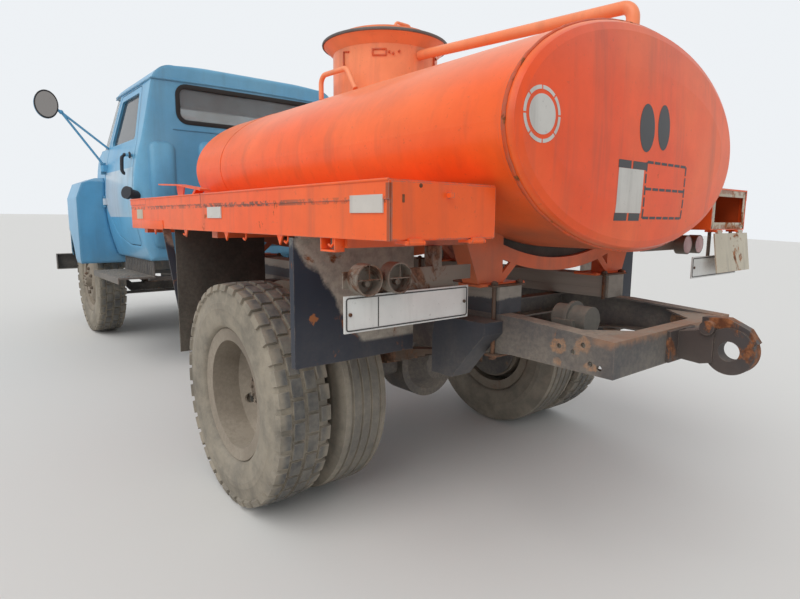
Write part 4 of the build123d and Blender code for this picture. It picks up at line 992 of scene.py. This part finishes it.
# Painted signs on the rear head, all blank: y and z in metres, laid on the head
signs = {"ring": (0.634, 1.5445, 0.08), "ringWidth": 0.011, "dashes": 8, "disc": 0.0565,
         "panelY": (0.2145, 0.047), "panelZ": (1.271, 1.4215), "stripHigh": 0.027, "frameY": (0.03, -0.276),
         "frameZ": (1.25, 1.456), "frameLine": 0.0095, "across": 6, "upright": 5, "lift": 0.0006, "skin": 0.0004,
         "smudges": ((0.0455, 1.566, 0.052, 0.082), (-0.075, 1.579, 0.044, 0.08))}


def dashesOf(start, end, count, share):
    # starts and ends of the dashes along a line
    step = (end - start) / count
    return [(start + step * (i + 0.08), start + step * (i + share)) for i in range(count)]


def makeSigns():
    y, z, radius = signs["ring"]
    (py0, py1), (pz0, pz1) = signs["panelY"], signs["panelZ"]
    pale = [addRing(y, z, radius, radius - signs["ringWidth"], signs["dashes"]), addRing(y, z, signs["disc"]),
            addPatch(py0, py1, pz0, pz1)]
    high, middle = signs["stripHigh"], (py0 + py1) / 2
    dark = []
    for z0, z1, last in ((pz1 + 0.0005, pz1 + high, py1 - 0.02), (pz0 - high, pz0 - 0.0005, py1 + 0.004)):
        dark += [addPatch(py0 + 0.004, middle + 0.006, z0, z1), addPatch(middle - 0.006, last, z0, z1)]
    (fy0, fy1), (fz0, fz1), line = signs["frameY"], signs["frameZ"], signs["frameLine"]
    for a, b in dashesOf(fy0, fy1, signs["across"], 0.9):
        dark += [addPatch(a, b, low, low + line, 3) for low in (fz0, (fz0 + fz1) / 2, fz1 - line)]
    for a, b in dashesOf(fz0, fz1, signs["upright"], 0.88):
        dark += [addPatch(side - line / 2, side + line / 2, a, b, 3) for side in (fy0, fy1)]
    for sy, sz, half, tall in signs["smudges"]:
        dark.append(addRing(sy, sz, half, tall=tall / half))
    for parts, name, kind in ((pale, "signPale", "signWhite"), (dark, "signDark", "signBlack")):
        sign = laidOn(together(parts), levelTank, signs["lift"])
        settle(thickened(sign, signs["skin"]), name, kind)


levelTank = levelCopy("tank")
makeSigns()
bpy.data.objects.remove(levelTank)
print("lamps, plates and signs made")

# Cab: the rear window's seal, pressed panels of the rear wall (y from, y to, top) and the drip rail
cab = {"rear": 2.0, "seal": ((-0.592, 1.918), (0.592, 2.202)), "sealCorner": 0.082, "sealWidth": 0.032,
       "swage": (0.62, 1.876), "panels": ((0.612, 0.792, 1.78), (-0.44, 0.44, 1.81), (-0.792, -0.612, 1.78)),
       "panelLow": 1.02, "gutter": 0.008, "gutterY": 0.752, "gutterZ": 2.213}


def makeCabRear():
    rear = cab["rear"]
    seal = ringOf(addSheet(*cab["seal"], rear + 0.004, cab["sealCorner"]), cab["sealWidth"])
    settle(thickened(seal, 0.02, 0.004), "rearWindowSeal", "padRubber")
    half, z = cab["swage"]
    parts = [addBar((rear - 0.0005, -half, z), (rear - 0.0005, half, z), 0.0045, 8)]
    for y0, y1, top in cab["panels"]:
        panel = addSheet((y0, cab["panelLow"]), (y1, top), rear - 0.1, 0.055, 10)
        parts.append(thickened(laidOn(panel, levelCab), 0.01, 0.0035))
    settle(together(parts), "cabRearPressings", "cabBlue")


def makeGutter():
    y, z, x = cab["gutterY"], cab["gutterZ"], cab["rear"] - 0.002
    half = [(2.95, y, z + 0.004), (2.6, y + 0.002, z + 0.002), (2.15, y + 0.002, z), (2.02, y - 0.001, z)]
    half += [(x, y * (1 - i / 6), z + 0.012 * math.sin(math.pi * i / 12)) for i in range(7)]
    line = half + [(px, -py, pz) for px, py, pz in half[-2::-1]]
    settle(addTube(line, cab["gutter"]), "dripRail", "cabBlue")


# Door handles: x, y and z of the grip's bends, and the rose behind it
handle = {"grip": ((2.19, 0.903, 1.69), (2.19, 0.925, 1.69), (2.203, 0.9265, 1.625), (2.215, 0.925, 1.56),
                   (2.215, 0.906, 1.56)), "radius": 0.0125, "rose": ((2.19, 0.868, 1.69), (2.19, 0.88, 1.69)),
          "roseRadius": 0.024}


def makeHandles():
    for side, out in (("left", 1), ("right", -1)):
        grip, rose = ([(x, out * y, z) for x, y, z in handle[name]] for name in ("grip", "rose"))
        parts = [addTube(grip, handle["radius"], True), addBar(*rose, handle["roseRadius"], 24, 0.3)]
        settle(together(parts), "doorHandle" + side.title(), "fillerBlack", "door_" + side)


# Oval mirrors, headlamp rims and the trim round the grille
mirror = {"x": 3.027, "y": 1.25, "z": 2.12, "glass": (0.076, 0.1), "rim": (0.0783, 0.102), "bead": 0.0055}
front = {"lamps": ((4.431, -0.79, 1.205), (4.431, 0.79, 1.205)), "lampRim": (0.1, 0.01),
         "surround": ((-0.59, 1.025), (0.59, 1.45)), "x": 4.427, "bars": (1.135, 1.235, 1.335)}


def makeMirrors():
    glass, rims = [], []
    wide, tall = mirror["rim"]
    for y in (mirror["y"], -mirror["y"]):
        radius, high = mirror["glass"]
        disc = addRing(y, mirror["z"], radius, tall=high / radius, x=mirror["x"] - 0.001)
        glass.append(thickened(disc, 0.002, offset=-1))
        rims.append(addRim(wide, mirror["bead"], (1.3, 1, tall / wide), (mirror["x"] + 0.003, y, mirror["z"])))
    settle(together(glass), "mirrorGlasses", "mirrorGlass")
    settle(together(rims), "mirrorRims", "fillerBlack")


def makeFront():
    rims = [addRim(*front["lampRim"], (1.25, 1, 1), place, steps=(72, 12)) for place in front["lamps"]]
    settle(together(rims), "headlampRims", "chromeWorn")
    trim = ringOf(addSheet(*front["surround"], front["x"], 0.03), 0.028)
    settle(thickened(trim, 0.008, 0.002), "grilleSurround", "grilleWhite")
    bars = [addBlock((4.4235, -0.552, z), (4.4285, 0.552, z + 0.012), 0.0015) for z in front["bars"]]
    settle(together(bars), "grilleBars", "grilleWhite")


# Ribs on the running boards: count, first place and step
steps = {"top": (8, 0.806, 0.03), "side": (17, 2.066, 0.046)}


def makeSteps():
    count, first, step = steps["top"]
    ribs = [addBlock((2.062, y, 0.8118), (2.838, y + 0.008, 0.8155), 0.0012, 1)
            for y in (first + step * i for i in range(count))]
    count, first, step = steps["side"]
    ribs += [addBlock((x, 0.7875, 0.818), (x + 0.016, 0.792, 0.918), 0.0015, 1)
             for x in (first + step * i for i in range(count))]
    settle(bothSides(together(ribs)), "stepRibs", "stepGrey")


# U-bolts round the timbers, by x and the rail's lower side, and the bolts and plates of the rear springs
clamps = {"timber": ((-0.922, 0.751), (0.33, 0.705), (1.03, 0.705)), "outer": 0.4415, "inner": 0.299, "top": 1.022,
          "springX": (-0.062, 0.062), "springY": (0.449, 0.531)}


def makeClamps():
    parts = []
    outer, inner, top = clamps["outer"], clamps["inner"], clamps["top"]
    for x, low in clamps["timber"]:
        parts += [addBar((x, outer, low - 0.022), (x, outer, top), 0.008, 12),
                  addBar((x, inner, 0.893), (x, inner, top), 0.008, 12),
                  addBlock((x - 0.017, 0.284, 1.0005), (x + 0.017, 0.462, 1.0075), 0.0015),
                  addBlock((x - 0.03, 0.352, low - 0.008), (x + 0.024, 0.462, low - 0.0005), 0.0015)]
        for y, z in ((outer, 1.0075), (inner, 1.0075), (outer, low - 0.02)):
            parts.append(addBar((x, y, z), (x, y, z + 0.011), 0.0145, 6, 0.2))
    for x in clamps["springX"]:
        for y in clamps["springY"]:
            parts += [addBar((x, y, 0.405), (x, y, 0.7), 0.009, 12),
                      addBar((x, y, 0.6845), (x, y, 0.696), 0.0155, 6, 0.2)]
        parts.append(addBlock((x - 0.022, 0.432, 0.6712), (x + 0.022, 0.548, 0.6845), 0.002))
    settle(bothSides(together(parts)), "clampBolts", "steelRust")


# Cases: hooks below by x and their bends, brackets, lip along the lid, pale patches and the open case's flange
cases = {"hooks": (0.44, -0.238, -0.57, -0.85), "hookY": 1.088, "low": 1.187,
         "hook": ((0, 0.002), (-0.001, -0.016), (0.012, -0.026), (0.026, -0.02)), "hookRadius": 0.004,
         "brackets": (((-0.868, 1.06, 1.148), (-0.862, 1.095, 1.1875)), ((-0.791, 1.06, 1.148),
                      (-0.785, 1.095, 1.1875)), ((-0.868, 1.06, 1.145), (-0.785, 1.095, 1.151)),
                      ((0.734, 1.0995, 1.182), (1.306, 1.1035, 1.229))),
         "lips": ((-1.134, 0.176), (0.186, 1.008), (1.016, 1.318)), "lipRadius": 0.0042,
         "patches": (((-1.11, 1.099, 1.26), (-0.96, 1.1047, 1.308)), ((-0.035, 1.099, 1.243), (0.112, 1.1047, 1.289))),
         "yellow": ((1.09, 1.1, 1.236), (1.205, 1.1012, 1.288)), "flange": ((-1.0955, 1.2095), (-0.7175, 1.3875))}


def makeCaseFittings():
    y, z = cases["hookY"], cases["low"]
    parts = [addTube([(x + dx, y, z + dz) for dx, dz in cases["hook"]], cases["hookRadius"]) for x in cases["hooks"]]
    parts += [addBlock(low, high, 0.0012) for low, high in cases["brackets"]]
    parts += [addBar((x0, 1.1035, 1.3445), (x1, 1.1035, 1.3445), cases["lipRadius"], 10) for x0, x1 in cases["lips"]]
    settle(together(parts), "caseFittings", "caseOrange")
    marks = [addBar((-1.1395, 1.0, 1.3325), (-1.1425, 1.0, 1.3325), 0.006, 12),
             addBlock((-1.143, 1.056, 1.287), (-1.1405, 1.064, 1.308), 0.001, 1)]
    settle(together(marks), "caseMarks", "steelRust")
    pale = [addBlock(low, high, 0.0004, 1) for low, high in cases["patches"]]
    settle(together(pale), "casePatches", "signWhite")
    settle(addBlock(*cases["yellow"], 0.0003, 1), "casePatchYellow", "lidBeige")
    rim = ringOf(addSheet(*cases["flange"], -1.1875, 0.01), 0.03)
    settle(thickened(rim, 0.003, 0.0008), "caseFlange", "lidBeige")


# Neck: name plate's bare frame, studs (degrees and z), latch brackets (turn, z and how far out) and the rim's bead
neck = {"x": 0.3, "radius": 0.287, "rim": 0.341, "rimZ": 2.175, "plate": ((-0.038, 2.06), (0.038, 2.096)),
        "plateTurn": 136, "studs": ((146, 2.079), (150, 2.072), (156, 2.084)), "latches": (94, 205, 290),
        "latch": ((8, 2.094, 0.003), (0, 2.101, 0.004), (0, 2.05, 0.005), (1, 2.014, 0.006), (5, 2.0, 0.01))}


def onNeck(degrees, z, out):
    # point on the neck's wall, or a little out from it
    turn = math.radians(degrees)
    reach = neck["radius"] + out
    return Vector((neck["x"] + reach * math.cos(turn), reach * math.sin(turn), z))


def makeNeckFittings():
    plate = thickened(ringOf(addSheet(*neck["plate"], neck["radius"] + 0.002, 0.005, 3), 0.007), 0.008, 0.001)
    turn = Matrix.Rotation(math.radians(neck["plateTurn"]), 4, "Z")
    plate.matrix_world = Matrix.Translation((neck["x"], 0, 0)) @ turn
    parts = [applied(plate)]
    for degrees, z in neck["studs"]:
        parts.append(addBar(onNeck(degrees, z, -0.002), onNeck(degrees, z, 0.013), 0.0062, 6, 0.2))
    for first in neck["latches"]:
        parts.append(addTube([onNeck(first + more, z, out) for more, z, out in neck["latch"]], 0.0045))
        parts.append(addBar(onNeck(first + 2, 2.02, -0.002), onNeck(first + 2, 2.02, 0.014), 0.0075, 8, 0.2))
    settle(together(parts), "neckFittings", "weldOrange")
    bead = addRim(neck["rim"], 0.006, (1, 1, 1.35), (neck["x"], 0, neck["rimZ"]), (0, 0, 0), (96, 10))
    settle(bead, "neckRimBead", "stepGrey")


# Rough welds round the tank's rear head: x, how far out and radius
tank = {"halfWide": 0.753, "halfHigh": 0.389, "z": 1.524, "points": 160, "rough": 0.0008,
        "welds": ((-1.2065, 0.0003, 0.0058), (-1.201, 0.0002, 0.0035))}


def makeTankBeads():
    beads = []
    for x, out, radius in tank["welds"]:
        ring = []
        random.seed(7)
        for i in range(tank["points"]):
            turn = 2 * math.pi * i / tank["points"]
            grow = random.uniform(-tank["rough"], tank["rough"])
            ring.append((x + grow, (tank["halfWide"] + out + grow) * math.cos(turn),
                         tank["z"] + (tank["halfHigh"] + out + grow) * math.sin(turn)))
        beads.append(addTube(ring + ring[:2], radius))
    settle(together(beads), "tankWelds", "weldOrange")


# Seat: lower and upper corners of the base and the pads, and how much the back narrows at the top
seat = {"base": ((2.084, -0.636, 1.052), (2.556, 0.636, 1.288)), "slope": 0.42, "channels": 8, "sewn": 0.1,
        "cushion": ((2.092, -0.648, 1.2905), (2.598, 0.648, 1.428)), "fill": 0.7,
        "back": ((2.066, -0.646, 1.434), (2.184, 0.646, 1.876))}


def padOf(low, high, slope, faceAxis):
    # crowned pad with sewn channels across faceAxis
    choose()
    low, high = Vector(low), Vector(high)
    bpy.ops.mesh.primitive_cube_add(size=2)
    piece = bpy.context.object
    everyPart(piece)
    bpy.ops.mesh.subdivide(number_cuts=47)
    choose()
    half, middle = (high - low) / 2, (high + low) / 2
    other = 2 - faceAxis
    for corner in piece.data.vertices:
        u = corner.co.copy()
        thick, long, wide = u[faceAxis], u[other], u.y
        rounding = (1 - abs(long) ** 6) * (1 - abs(wide) ** 14)
        phase = abs((wide * seat["channels"] / 2) % 1 - 0.5) * 2
        sew = math.exp(-((1 - phase) / seat["sewn"]) ** 2) * (1 - abs(wide) ** 10)
        u[faceAxis] = thick * (0.66 + 0.34 * rounding ** 0.5 - 0.15 * sew * rounding)
        u[other] = long * (0.985 + 0.015 * wide ** 2) * (1 - 0.05 * thick ** 6)
        u.y = wide * (1 - 0.006 * (1 - long ** 2)) * (1 - 0.012 * thick ** 6)
        place = Vector([middle[i] + half[i] * u[i] for i in range(3)])
        share = (place.z - low.z) / (high.z - low.z)
        place.x = low.x + (place.x - low.x) * (1 - slope * share)
        corner.co = place
    return piece


def makeSeat():
    base = settle(addBlock(*seat["base"], 0.014, 3), "seatBase", "seatHide")
    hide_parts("seat")
    cushion = settle(padOf(*seat["cushion"], 0, 2), "seatCushion", "seatHide", angle=60)
    back = settle(padOf(*seat["back"], seat["slope"], 0), "seatBack", "seatHide", angle=60)


levelCab = levelCopy("cab_shell")
makeCabRear()
bpy.data.objects.remove(levelCab)
makeGutter()
makeHandles()
makeMirrors()
makeFront()
makeSteps()
makeClamps()
makeCaseFittings()
makeNeckFittings()
makeTankBeads()
makeSeat()
print("cab, case, neck and clamp pieces made")
